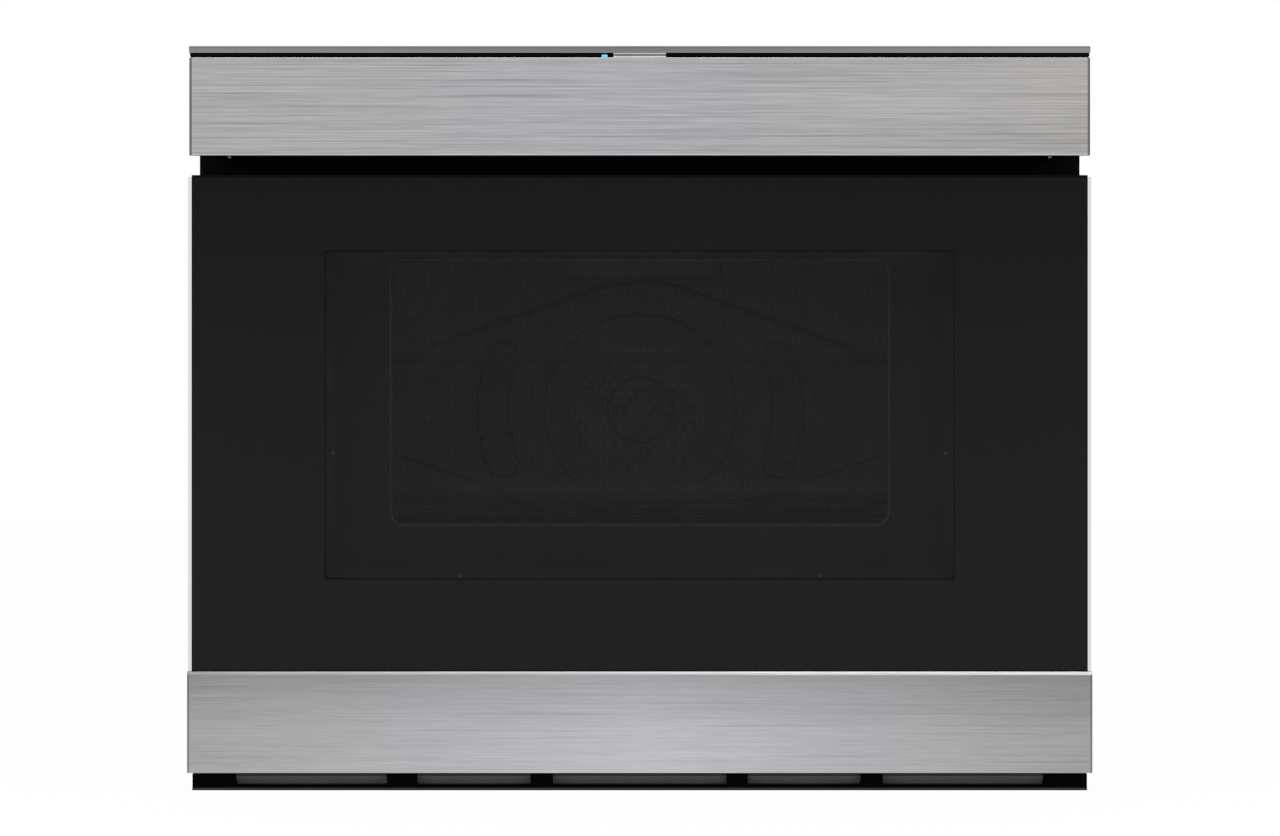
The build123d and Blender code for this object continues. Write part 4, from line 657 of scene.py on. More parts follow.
@dataclass(frozen=True)
class Laminations(Look):
    """A stacked core with varnished copper windings that stand out of it."""

    middle_y: float
    core_half: float

    def lay(self, f: Finish) -> None:
        """Adds the stack and the windings.

        Args:
            f: the finish that takes the nodes.
        """
        stack = f.waves("Y", (1.0, 320.0, 1.0), 0.3)
        turns = f.waves("Z", (1.0, 1.0, 180.0), 0.8)
        wound = abs(f.axis("Y") - self.middle_y) > self.core_half
        steel = f.mix(stack, (0.05, 0.05, 0.055), (0.14, 0.14, 0.15))
        copper = f.mix(turns, (0.16, 0.045, 0.015), (0.42, 0.15, 0.05))
        f.set("Base Color", f.mix(wound, steel, copper))
        f.set("Metallic", f.switch(wound, 0.5, 0.8))
        f.set("Roughness", f.spread(turns + stack, 0.0, 2.0, 0.5, 0.36))
        f.bump(turns * wound + stack * (1.0 - wound), 0.3, 0.0003)


@dataclass(frozen=True)
class Glow(Look):
    """A lamp lens or light window that gives light of its own."""

    tone: Colour
    strength: float

    def lay(self, f: Finish) -> None:
        """Adds the frosted tone and its light.

        Args:
            f: the finish that takes the nodes.
        """
        frosted = f.mix(f.noise(900.0, 2.0), tinted(self.tone, 0.8), self.tone)
        f.set("Base Color", frosted)
        f.set("Roughness", 0.3)
        f.set("Emission Color", frosted)
        f.set("Emission Strength", self.strength)


# ---------------------------------------------------------------- shapes
class Shape:
    """A mesh under construction, in millimetres, in the frame of the whole object."""

    def __init__(self) -> None:
        """Starts empty."""
        self.mesh = bmesh.new()

    def block(self, low: Point, high: Point, bevel: float = 0.0) -> None:
        """Adds a block between two corners, with its edges rounded.

        Args:
            low: its lowest corner.
            high: its highest corner.
            bevel: the rounding's radius.
        """
        made = bmesh.ops.create_cube(self.mesh, size=1.0)
        for vertex in made["verts"]:
            for i in range(3):
                vertex.co[i] = low[i] if vertex.co[i] < 0 else high[i]
        if bevel > 0.0:
            edges = {edge for vertex in made["verts"] for edge in vertex.link_edges}
            rounding = {"offset": bevel, "segments": 2, "profile": 0.5, "affect": "EDGES"}
            bmesh.ops.bevel(self.mesh, geom=list(edges), **rounding)

    def _skin(self, here: List[bmesh.types.BMVert], there: List[bmesh.types.BMVert]) -> None:
        """Joins two closed loops of points with a band of faces.

        Args:
            here: the first loop.
            there: the second loop, with as many points.
        """
        for i in range(len(here)):
            j = (i + 1) % len(here)
            self.mesh.faces.new((here[i], here[j], there[j], there[i]))

    def plate_ring(self, outer: Outline, inner: Outline, front: float, back: float) -> None:
        """Adds a flat frame in the XZ plane between two outlines with the same number of points.

        Args:
            outer: the outer outline's (x, z) points.
            inner: the inner outline's points, in the same order.
            front: the y of its front face.
            back: the y of its back face.
        """
        loops = []
        for outline, y in ((outer, front), (inner, front), (inner, back), (outer, back)):
            loops.append([self.mesh.verts.new((x, y, z)) for x, z in outline])
        for ring in range(4):
            self._skin(loops[ring], loops[(ring + 1) % 4])

    def tube(self, points: Sequence[Point], radius: float, sides: int = 8, closed: bool = False) -> None:
        """Adds a round bead along a path that lies in an XZ plane.

        Args:
            points: the path.
            radius: the bead's radius.
            sides: how many sides its section has.
            closed: whether the path returns to its start.
        """
        count = len(points)
        depth = Vector((0.0, 1.0, 0.0))
        rings = []
        for i, point in enumerate(points):
            before = Vector(points[i - 1]) if (closed or i > 0) else Vector(point)
            after = Vector(points[(i + 1) % count]) if (closed or i < count - 1) else Vector(point)
            across = (after - before).normalized().cross(depth).normalized()
            ring = []
            for k in range(sides):
                turn = FULL_TURN * k / sides
                offset = across * (radius * math.cos(turn)) + depth * (radius * math.sin(turn))
                ring.append(self.mesh.verts.new(Vector(point) + offset))
            rings.append(ring)
        for i in range(count if closed else count - 1):
            self._skin(rings[i], rings[(i + 1) % count])
        if not closed:
            self.mesh.faces.new(rings[0])
            self.mesh.faces.new(tuple(reversed(rings[-1])))

    def finish(self, name: str, smooth: bool = False) -> Object:
        """Turns the shape into an object in metres, with its faces pointing outwards.

        Args:
            name: the object's name.
            smooth: whether its faces are shaded smooth.

        Returns:
            The object, linked to the scene.
        """
        bmesh.ops.remove_doubles(self.mesh, verts=self.mesh.verts, dist=0.0001)
        bmesh.ops.recalc_face_normals(self.mesh, faces=self.mesh.faces)
        for face in self.mesh.faces:
            face.smooth = smooth
        bmesh.ops.scale(self.mesh, vec=(MM, MM, MM), verts=self.mesh.verts)
        data = bpy.data.meshes.new(name)
        self.mesh.to_mesh(data)
        self.mesh.free()
        return linked(name, data)


def linked(name: str, data: Any) -> Object:
    """Makes an object and links it to the scene.

    Args:
        name: its name.
        data: its mesh, lamp or camera.

    Returns:
        The object.
    """
    made = bpy.data.objects.new(name, data)
    bpy.context.scene.collection.objects.link(made)
    return made


def rounded_outline(half_x: float, low_z: float, high_z: float, radius: float, steps: int) -> Outline:
    """Points round a rectangle with rounded corners, in the XZ plane.

    Args:
        half_x: half its width.
        low_z: its bottom.
        high_z: its top.
        radius: the corner radius.
        steps: how many runs make a corner.

    Returns:
        The (x, z) points, anticlockwise from the lower right corner.
    """
    east, north, south = half_x - radius, high_z - radius, low_z + radius
    corners = ((east, south, -90.0), (east, north, 0.0), (-east, north, 90.0), (-east, south, 180.0))
    points = []
    for x, z, start in corners:
        for step in range(steps + 1):
            turn = math.radians(start + 90.0 * step / steps)
            points.append((x + radius * math.cos(turn), z + radius * math.sin(turn)))
    return points


class Pattern(NodePlan):
    """A Geometry Nodes tree with named sizes, run once and kept as a plain mesh."""

    def __init__(self, name: str) -> None:
        """Starts the tree with its output.

        Args:
            name: the name of the tree and of the piece that it makes.
        """
        tree = bpy.data.node_groups.new(name, "GeometryNodeTree")
        tree.interface.new_socket("Geometry", in_out="OUTPUT", socket_type="NodeSocketGeometry")
        super().__init__(tree)
        self.name = name
        self.inlet = tree.nodes.new("NodeGroupInput")
        self.outlet = tree.nodes.new("NodeGroupOutput")
        self.values: Dict[str, Any] = {}

    def size(self, label: str, value: Any) -> Link:
        """Adds a named input.

        Args:
            label: its name.
            value: its value: a number, a whole number or a vector.

        Returns:
            The input as a Link.
        """
        kind = {tuple: "Vector", int: "Int", float: "Float"}[type(value)]
        item = self.tree.interface.new_socket(label, in_out="INPUT", socket_type="NodeSocket" + kind)
        self.values[item.identifier] = value
        return Link(self, next(s for s in self.inlet.outputs if s.identifier == item.identifier))

    def vector(self, x: Any, y: Any, z: Any) -> Link:
        """A vector from three numbers or links."""
        return self.node("ShaderNodeCombineXYZ", inputs={0: x, 1: y, 2: z})

    def place(self) -> Tuple[Link, Link, Link]:
        """The three coordinates of a point of the mesh."""
        outputs = self.node("ShaderNodeSeparateXYZ", inputs={0: self.node("GeometryNodeInputPosition")})
        return tuple(Link(self, output) for output in outputs.socket.node.outputs)

    def join(self, *pieces: Link) -> Link:
        """Joins several geometries.

        Args:
            pieces: the geometries.

        Returns:
            All of them as one.
        """
        joined = self.tree.nodes.new("GeometryNodeJoinGeometry")
        for piece in pieces:
            self.feed(joined.inputs[0], piece)
        return Link(self, joined.outputs[0])

    def moved(self, geometry: Link, **how: Any) -> Link:
        """A geometry after its Translation, Rotation or Scale."""
        return self.node("GeometryNodeTransform", inputs={"Geometry": geometry, **how})

    def repeated(self, piece: Link, points: Link, **how: Any) -> Link:
        """A piece at each of several points."""
        return self.node("GeometryNodeInstanceOnPoints", inputs={"Points": points, "Instance": piece, **how})

    def row(self, count: Link, start: Link, step: Link) -> Link:
        """Points in a straight row."""
        inputs = {"Count": count, "Start Location": start, "Offset": step}
        return self.node("GeometryNodeMeshLine", {"mode": "OFFSET"}, inputs)

    def ball(self, radius: Any, segments: int) -> Link:
        """A ball with poles."""
        inputs = {"Segments": segments, "Rings": 8, "Radius": radius}
        return self.node("GeometryNodeMeshUVSphere", inputs=inputs)

    def circle(self, radius: Link, sides: int) -> Link:
        """A round curve."""
        inputs = {"Resolution": sides, "Radius": radius}
        return self.node("GeometryNodeCurvePrimitiveCircle", {"mode": "RADIUS"}, inputs)

    def rectangle(self, width: Any, height: Any, corner: Any, steps: int) -> Link:
        """A curve round a rectangle with rounded corners.

        Args:
            width: its width.
            height: its height.
            corner: the corner radius.
            steps: how many runs make a corner.

        Returns:
            The curve.
        """
        line = self.node("GeometryNodeCurvePrimitiveQuadrilateral", inputs={"Width": width, "Height": height})
        inputs = {"Curve": line, "Radius": corner, "Count": steps}
        return self.node("GeometryNodeFilletCurve", {"mode": "POLY"}, inputs)

    def swept(self, path: Link, section: Link, capped: bool = False) -> Link:
        """A section swept along a curve."""
        inputs = {"Curve": path, "Profile Curve": section, "Fill Caps": capped}
        return self.node("GeometryNodeCurveToMesh", inputs=inputs)

    def run(self, geometry: Link, material: Material) -> Object:
        """Ends the tree, evaluates it and keeps the result.

        Args:
            geometry: what the tree makes.
            material: the finish of all of it.

        Returns:
            The piece as a plain mesh object in the scene.
        """
        real = self.node("GeometryNodeRealizeInstances", inputs={0: geometry})
        dressed = self.node("GeometryNodeSetMaterial", inputs={"Geometry": real, "Material": material})
        self.feed(self.outlet.inputs[0], dressed)
        carrier = linked(self.name + "_carrier", bpy.data.meshes.new(self.name + "_carrier"))
        modifier = carrier.modifiers.new("pattern", "NODES")
        modifier.node_group = self.tree
        for identifier, value in self.values.items():
            modifier[identifier] = value
        bpy.context.view_layer.update()
        evaluated = carrier.evaluated_get(bpy.context.evaluated_depsgraph_get())
        data = bpy.data.meshes.new_from_object(evaluated)
        carrier.modifiers.remove(modifier)
        bpy.data.objects.remove(carrier)
        data.name = self.name
        return linked(self.name, data)


def settle(piece: Object, body: Body, slot: str, material: Optional[Material] = None, *nodes: str) -> None:
    """Puts a finished piece on its body, and reports it.

    Args:
        piece: the piece.
        body: the body that it rides on.
        slot: not used.
        material: its finish, where it has none yet.
        nodes: the CAD nodes that it stands for.
    """
    if material is not None:
        piece.data.materials.clear()
        piece.data.materials.append(material)
    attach(piece, body.value)
    if nodes:
        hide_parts(*nodes)
    triangles = sum(len(face.vertices) - 2 for face in piece.data.polygons)
    log.info("piece %s on %s: %d triangles", piece.name, body.value, triangles)


def dress(look: Look, *nodes: str) -> Material:
    """Gives CAD nodes a finish.

    Args:
        look: the finish.
        nodes: the nodes' names.

    Returns:
        The material, for a piece that wears it too.
    """
    material = look.make()
    for node in nodes:
        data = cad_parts[node].data
        data.materials.clear()
        data.materials.append(material)
        log.info("finish %s on %s", material.name, node)
    return material


class Head(Enum):
    """The kinds of small fastener."""

    PAN = "pan"
    RIVET = "rivet"


@dataclass
class Fasteners:
    """Small screws or rivets at given points, which look along one direction.

    A head is a low cylinder with a dome on it, and a pan head has a cross slot. The shares are of the
    head's radius for dome_radius, slot_width and slot_length, and of its height for slot_middle.
    """

    name: str
    points: Sequence[Point]
    facing: Point
    radius: float
    height: float
    kind: Head = Head.PAN
    sides: int = 16
    dome_radius: float = 0.96
    dome_flatness: float = 0.28
    slot_width: float = 0.24
    slot_length: float = 1.2
    slot_middle: float = 0.72

    def make(self, material: Material) -> Object:
        """Builds them with Geometry Nodes.

        Args:
            material: their finish.

        Returns:
            The piece, all fasteners in one mesh.
        """
        p = Pattern(self.name)
        radius = p.size("Head radius", self.radius * MM)
        height = p.size("Head height", self.height * MM)
        base = {"Vertices": self.sides, "Side Segments": 1, "Radius": radius, "Depth": height}
        low = p.node("GeometryNodeMeshCylinder", {"fill_type": "NGON"}, base)
        dome = p.ball(radius * self.dome_radius, self.sides)
        rise = p.vector(0.0, 0.0, height * 0.5)
        head = p.join(low, p.moved(dome, Translation=rise, Scale=(1.0, 1.0, self.dome_flatness)))
        if self.kind is Head.PAN:
            head = self._slotted(p, head, radius, height)
        spots = []
        for number, point in enumerate(self.points):
            place = p.size(f"Place {number + 1}", tuple(c * MM for c in point))
            spots.append(p.node("GeometryNodePoints", inputs={"Count": 1, "Position": place}))
        turned = Vector(self.facing).to_track_quat("Z", "Y").to_euler()
        return p.run(p.repeated(head, p.join(*spots), Rotation=tuple(turned)), material)

    def _slotted(self, p: Pattern, head: Link, radius: Link, height: Link) -> Link:
        """Cuts the cross slot into a head.

        Args:
            p: the tree.
            head: the head.
            radius: its radius.
            height: its height.

        Returns:
            The head with its slot.
        """
        width, length = radius * self.slot_width, radius * self.slot_length
        bars = [p.vector(length, width, height), p.vector(width, length, height)]
        cross = p.join(*(p.node("GeometryNodeMeshCube", inputs={"Size": bar}) for bar in bars))
        cutter = p.moved(cross, Translation=p.vector(0.0, 0.0, height * self.slot_middle))
        # the cylinder and the dome overlap, so they become one solid before the cut
        inputs = {"Mesh 2": head, "Self Intersection": True}
        solid = p.node("GeometryNodeMeshBoolean", {"operation": "UNION", "solver": "EXACT"}, inputs)
        inputs = {"Mesh 1": solid, "Mesh 2": cutter, "Self Intersection": True}
        return p.node("GeometryNodeMeshBoolean", {"operation": "DIFFERENCE", "solver": "EXACT"}, inputs)


# ---------------------------------------------------------------- sub-assemblies
@dataclass
class Door:
    """The drawer's door: glass, trims, mesh screen with its window, lower panel and choke."""

    window_half: float = 166.5
    window_low: float = 178.3
    window_high: float = 354.3
    window_radius: float = 8.0
    screen_half: float = 211.0
    screen_low: float = 141.7
    screen_high: float = 360.8
    screen_radius: float = 4.0
    screen_front: float = -304.8
    screen_back: float = -304.0
    print_half: float = 210.4
    print_low: float = 141.6
    print_high: float = 360.8
    hole_pitch: float = 2.3
    hole_side: float = 1.55
    hole_margin: float = 0.9
    half_columns: int = 73
    rows: int = 78
    gap_side: float = 0.5
    gap_low: float = 0.2
    gap_high: float = 0.4
    gap_radius: float = 0.2
    seam_offset: float = 1.0
    seam_radius: float = 0.35
    weld_pitch: float = 2.3
    weld_radius: float = 0.6
    screw_radius: float = 1.2
    screw_height: float = 0.7
    screw_places: Sequence[Tuple[float, float]] = (
        (-206.1, 225.8), (205.5, 225.8), (-121.1, 143.0), (120.8, 143.0)
    )

    def build(self) -> None:
        """Builds the door's pieces and dresses its nodes."""
        # painted light on the lower panel: a reflection in the tone across, darker towards the top, a painted
        # highlight on the bend that is stronger on the right, and painted shade at the side edges
        steel = BrushedSteel(
            "brushed_steel_lower",
            left=(0.350, 0.350, 0.351),
            middle=(0.476, 0.473, 0.498),
            right=(0.325, 0.325, 0.326),
            half_width=0.303,
            levels=(
                (0.012, 1.10), (0.040, 1.03), (0.060, 0.90), (0.0772, 0.78),
                (0.0782, 0.86), (0.0788, 1.1), (0.0794, 1.2),
            ),
            edge=0.0014,
            edge_shade=0.52,
            contrast=0.11,
            bend_z=0.0771,
            bend_highlight_tone=(0.255, 0.258, 0.258),
            bend_highlight_left=0.70,
            bend_highlight_right=1.40,
            long_grain=(9.0, 1000.0, 1000.0),
            short_grain=(46.0, 1700.0, 1700.0),
        )
        dress(steel, "lower_panel")
        window = (self.print_half * MM, self.print_low * MM, self.print_high * MM)
        dress(PrintedGlass("black_glass_door", *window), "door_glass")
        # painted shade on the side trims' faces behind their front
        trim = CastMetal(
            "trim_aluminium_sides",
            (0.72, 0.72, 0.722),
            roughness=0.32,
            smear=0.05,
            lines=(900.0, 900.0, 6.0),
            front_y=-0.3171,
            behind=0.68,
        )
        dress(trim, "door_side_trims")
        dress(DarkCoat("black_paint_door"), "door_frame")
        dress(Enamel("oven_enamel_choke", (0.10, 0.10, 0.105), 0.4), "choke_frame")
        dress(Moulded("black_plastic_choke", (0.015, 0.015, 0.016)), "choke_cover", "latch_hooks")
        dress(ClearPane("clear_glass_inner"), "inner_pane")
        # the screen's tones by height are painted light and shade, lighter along the top where the print
        # shades it
        levels = (
            (0.14, 0.0560), (0.20, 0.0590), (0.30, 0.0540),
            (0.335, 0.050), (0.350, 0.056), (0.361, 0.062),
        )
        sizes = (self.screen_half * MM, self.screen_low * MM, self.screen_high * MM)
        paint = ScreenPaint("black_paint_screen", levels, 0.75, 0.05, *sizes).make()
        self._border(paint)
        for name, side in SIDES:
            settle(self._perforation("screen_mesh_" + name, side, paint), Body.DRAWER, "black_paint")
        self._seam(paint)
        self._welds()
        self._screws()

    def _border(self, paint: Material) -> None:
        """Builds the plain rim of the mesh screen round its perforated field.

        Args:
            paint: its finish.
        """
        shape = Shape()
        field_half = self.half_columns * self.hole_pitch + self.gap_side
        field_low = self.window_low - self.gap_low
        field_high = self.window_low + self.rows * self.hole_pitch + self.gap_high
        outer = rounded_outline(self.screen_half, self.screen_low, self.screen_high, self.screen_radius, 4)
        inner = rounded_outline(field_half, field_low, field_high, self.gap_radius, 4)
        shape.plate_ring(outer, inner, self.screen_front, self.screen_back)
        settle(shape.finish("screen_border"), Body.DRAWER, "black_paint", paint, "mesh_screen")

    def _perforation(self, name: str, side: int, paint: Material) -> Object:
        """Builds one half of the perforated field with Geometry Nodes.

        Its grid has lines half a pitch apart. The squares between two odd lines are the holes, and every
        second line is moved, which gives the holes their own width.

        Args:
            name: the name of the half.
            side: -1 for the left half, 1 for the right half.
            paint: its finish.

        Returns:
            The piece.
        """
        p = Pattern(name)
        pitch = p.size("Hole pitch", self.hole_pitch * MM)
        hole = p.size("Hole side", self.hole_side * MM)
        columns = p.size("Columns", self.half_columns)
        rows = p.size("Rows", self.rows)
        sheet = p.size("Sheet", (self.screen_back - self.screen_front) * MM)
        west = p.size("West edge", (-self.half_columns * self.hole_pitch if side < 0 else 0.0) * MM)
        floor = p.size("Lower edge", self.window_low * MM)
        corner = p.size("Window corner", self.window_radius * MM)
        half = pitch * 0.5
        across = columns * 2.0 + (1.0 if side < 0 else 2.0)
        upward = rows * 2.0 + 2.0
        width, height = (across - 1.0) * half, (upward - 1.0) * half
        lines = {"Size X": width, "Size Y": height, "Vertices X": across, "Vertices Y": upward}
        grid = p.node("GeometryNodeMeshGrid", inputs=lines)
        laid = p.moved(grid, Translation=p.vector(width * 0.5, height * 0.5, 0.0))
        x, y, _ = p.place()
        odd_x, odd_y = ((c / half).maths("FLOOR").maths("MODULO", 2.0) > 0.5 for c in (x, y))
        middle = (self.window_high - self.window_low) * MM * 0.5
        over_x = (abs(x + west) - (self.window_half * MM - corner)).maths("MAXIMUM", 0.0)
        over_y = (abs(y - middle) - (middle - corner)).maths("MAXIMUM", 0.0)
        inside = (over_x * over_x + over_y * over_y).maths("SQRT") < (corner - self.hole_margin * MM)
        holes = {"Geometry": laid, "Selection": odd_x * odd_y * inside}
        pierced = p.node("GeometryNodeDeleteGeometry", {"domain": "FACE"}, holes)
        slide = half - hole
        steps = [(c / half + 0.5).maths("FLOOR").maths("MODULO", 2.0) * slide for c in (x, y)]
        offset = {"Geometry": pierced, "Offset": p.vector(*steps, 0.0)}
        spaced = p.node("GeometryNodeSetPosition", inputs=offset)
        upwards = {"Offset": p.vector(0.0, 0.0, 1.0), "Offset Scale": sheet, "Individual": False}
        raised = p.node("GeometryNodeExtrudeMesh", {"mode": "FACES"}, {"Mesh": spaced, **upwards})
        under = p.node("GeometryNodeFlipFaces", inputs={"Mesh": spaced})
        merged = {"Geometry": p.join(raised, under), "Distance": 0.01 * MM}
        closed = p.node("GeometryNodeMergeByDistance", inputs=merged)
        place = p.vector(west, self.screen_back * MM, floor)
        return p.run(p.moved(closed, Rotation=UPRIGHT, Translation=place), paint)

    def _seam(self, paint: Material) -> None:
        """Builds the pressed bead round the window.

        Args:
            paint: its finish.
        """
        half, low, high, radius = self._seam_line()
        shape = Shape()
        outline = rounded_outline(half, low, high, radius, 8)
        shape.tube([(x, self.screen_front, z) for x, z in outline], self.seam_radius, 6, True)
        settle(shape.finish("screen_seam", True), Body.DRAWER, "black_paint", paint)

    def _seam_line(self) -> Tuple[float, float, float, float]:
        """Half the width, the bottom, the top and the corner radius of the bead's line."""
        grow, radius = self.seam_offset, self.window_radius
        return self.window_half + grow, self.window_low - grow, self.window_high + grow, radius + grow

    def _welds(self) -> None:
        """Builds the row of bare welds on the bead."""
        metal = CastMetal("screen_welds", (0.46, 0.46, 0.46), 0.5, 0.0, 0.2).make()
        half, low, high, radius = self._seam_line()
        p = Pattern("screen_welds")
        pitch = p.size("Weld pitch", self.weld_pitch * MM)
        weld = p.size("Weld radius", self.weld_radius * MM)
        corner = p.size("Corner", radius * MM)
        width = p.size("Width", 2 * half * MM)
        height = p.size("Height", (high - low) * MM)
        centre = p.size("Middle", (0.0, self.screen_front * MM, (low + high) / 2 * MM))
        line = {"Curve": p.rectangle(width, height, corner, 8), "Length": pitch}
        dots = p.node("GeometryNodeCurveToPoints", {"mode": "LENGTH"}, line)
        bead = p.node("GeometryNodeMeshIcoSphere", inputs={"Radius": weld, "Subdivisions": 1})
        placed = p.moved(p.repeated(bead, dots), Rotation=UPRIGHT, Translation=centre)
        settle(p.run(placed, metal), Body.DRAWER, "black_paint")

    def _screws(self) -> None:
        """Builds the four small screws at the rim of the mesh screen."""
        points = [(x, self.screen_front, z) for x, z in self.screw_places]
        metal = CastMetal("screen_screw_steel", (0.30, 0.30, 0.30), 0.4, 0.3).make()
        heads = Fasteners("screen_screws", points, (0, -1, 0), self.screw_radius, self.screw_height)
        settle(heads.make(metal), Body.DRAWER, "zinc_steel")


@dataclass
class ControlPanel:
    """The tilting control panel: fascia, bezel, touch glass and what is on it."""

    glass_thickness: float = 1.8
    mark_count: int = 14
    mark_pitch: float = 30.0
    mark_radius: float = 4.2
    mark_width: float = 0.5
    mark_flatness: float = 0.4
    mark_lift: Tuple[float, float] = (0.26, 0.88)
    display_half: float = 34.0
    display_depth: float = 9.0
    display_radius: float = 2.0
    board_front: float = -310.7

    def build(self) -> None:
        """Builds the panel's pieces and dresses its nodes."""
        # painted light on the fascia: a painted highlight along its lower edge, painted shade at its side
        # edges and a painted reflection in the tone across
        steel = BrushedSteel(
            "brushed_steel_fascia",
            left=(0.398, 0.398, 0.398),
            middle=(0.412, 0.410, 0.430),
            right=(0.410, 0.402, 0.392),
            half_width=0.3015,
            levels=(
                (0.4248, 1.35), (0.4256, 1.30), (0.4260, 0.97),
                (0.4500, 1.0), (0.4890, 1.0), (0.4906, 0.98),
            ),
            edge=0.0018,
            edge_shade=0.32,
            contrast=0.20,
        )
        dress(steel, "fascia")
        dress(DarkCoat("black_plastic_bezel", roughness=0.5, specular=0.1), "control_bezel")
        dress(GlossBlack("black_glass_touch"), "touch_glass")
        dress(CircuitBoard("board_display", "Y", self.board_front * MM), "display_board")
        self._marks()

    def _marks(self) -> None:
        """Builds the ring-shaped touch marks and the display's rim on the sloping glass."""
        low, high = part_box("touch_glass")
        tilt = math.atan2(high.z - low.z - self.glass_thickness * MM, high.y - low.y)
        middle = (low + high) / 2
        forward, upward = self.mark_lift
        ink = Enamel("touch_print", (0.55, 0.57, 0.60), 0.5).make()
        p = Pattern("touch_marks")
        radius = p.size("Mark radius", self.mark_radius * MM)
        line = p.size("Line width", self.mark_width * MM)
        pitch = p.size("Mark pitch", self.mark_pitch * MM)
        count = p.size("Marks", self.mark_count)
        lift = p.size("Place", (middle.x, middle.y + forward * MM, middle.z + upward * MM))
        slope = p.size("Tilt", (-tilt, 0.0, 0.0))
        section = p.circle(line * 0.5, 6)
        flat = (1.0, 1.0, self.mark_flatness)
        ring = p.moved(p.swept(p.circle(radius, 28), section), Scale=flat)
        start = p.vector(pitch * (count - 1.0) * -0.5, 0.0, 0.0)
        run = p.row(count, start, p.vector(pitch, 0.0, 0.0))
        beside = abs(p.place()[0]) > (self.display_half + self.mark_radius) * MM
        rings = p.repeated(ring, run, Selection=beside)
        size = (2 * self.display_half * MM, 2 * self.display_depth * MM, self.display_radius * MM)
        rim = p.moved(p.swept(p.rectangle(*size, 4), section), Scale=flat)
        placed = p.moved(p.join(rings, rim), Translation=lift, Rotation=slope)
        settle(p.run(placed, ink), Body.CONTROL_PANEL, "white_plastic")


@dataclass
class Front:
    """What is fixed at the front of the case: trim, sensor plate, light, frame, hinges and air guide."""

    plate_half: float = 17.6
    plate_low: float = 490.8
    plate_high: float = 493.6
    plate_front: float = -319.0
    plate_back: float = -299.0
    plate_bevel: float = 0.25
    light_x: float = -23.5
    light_half: float = 2.0
    light_low: float = 491.0
    light_high: float = 492.4
    light_back: float = -311.0
    light_bevel: float = 0.6
    # the strips that fill the gap under the trim with painted shade
    strip_half: float = 301.0
    strip_left_end: float = -26.2
    strip_right_end: float = 18.2
    strip_low: float = 491.2
    strip_front: float = -318.6
    strip_back: float = -296.0
    strip_bevel: float = 0.35

    def build(self) -> None:
        """Builds the front's pieces and dresses its nodes."""
        # painted light on the top trim: a painted reflection in the tone across, a painted highlight along
        # its lower edge and painted shade along its top
        trim = BrushedSteel(
            "trim_aluminium_top",
            left=(0.244, 0.2435, 0.243),
            middle=(0.199, 0.199, 0.2035),
            right=(0.274, 0.2745, 0.274),
            half_width=0.3015,
            levels=(
                (0.4936, 1.28), (0.4942, 1.22), (0.4944, 1.0),
                (0.4970, 0.92), (0.4974, 0.62), (0.498, 0.62),
            ),
            edge=0.0007,
            edge_shade=0.8,
            contrast=0.05,
        )
        dress(trim, "top_trim")
        dress(DarkCoat("black_paint_frame"), "front_frame")
        levels = ((0.0, 0.034), (0.0017, 0.034), (0.0019, 0.001), (0.012, 0.001))
        dress(DarkCoat("black_plastic_guide", levels, 0.8, 0.02), "air_guide")
        # the baffles' tones by height are painted light and shade: a lit band low down, darker above it, dark
        # at foot and top
        levels = (
            (0.002, 0.05), (0.0030, 0.12), (0.0040, 0.65), (0.0049, 0.54),
            (0.0064, 0.33), (0.0078, 0.24), (0.0090, 0.17), (0.0097, 0.03),
        )
        dress(DarkCoat("grey_baffles_painted_shade", levels, 0.6, 0.1), "air_baffles")
        # the hinges are black with painted shade but for their bare tips
        dress(HingeMetal("zinc_steel_hinges"), "panel_hinges")
        self._sensor()
        self._light()
        self._gap_strips()

    def _sensor(self) -> None:
        """Builds the pale sensor plate under the trim."""
        plate = Shape()
        low = (-self.plate_half, self.plate_front, self.plate_low)
        plate.block(low, (self.plate_half, self.plate_back, self.plate_high), self.plate_bevel)
        # painted highlight along the plate's lower edge and a painted shadow line above it
        levels = (
            (0.4908, 0.90), (0.4914, 0.90), (0.4916, 0.04), (0.4921, 0.05),
            (0.4927, 0.26), (0.4930, 0.74), (0.4936, 0.74),
        )
        pale = DarkCoat("sensor_plate", levels, 0.35, 0.4).make()
        settle(plate.finish("sensor_plate"), Body.CASE, "white_plastic", pale, "sensor_and_light")

    def _light(self) -> None:
        """Builds the small status light beside the sensor plate."""
        light = Shape()
        low = (self.light_x - self.light_half, self.plate_front, self.light_low)
        light.block(low, (self.light_x + self.light_half, self.light_back, self.light_high), self.light_bevel)
        blue = Glow("status_light", (0.13, 0.50, 0.72), 0.9).make()
        settle(light.finish("status_light"), Body.CASE, "white_plastic", blue)

    def _gap_strips(self) -> None:
        """Builds black strips of painted shade under the trim, one each side of the sensor plate and the
        light.
        """
        shape = Shape()
        for start, end in ((-self.strip_half, self.strip_left_end), (self.strip_right_end, self.strip_half)):
            high = (end, self.strip_back, self.plate_high)
            shape.block((start, self.strip_front, self.strip_low), high, self.strip_bevel)
        # painted shade: black strips fill the dark gap under the trim
        black = DarkCoat("black_gap_shade", roughness=0.9).make()
        settle(shape.finish("trim_gap_shade"), Body.CASE, "black_plastic", black)


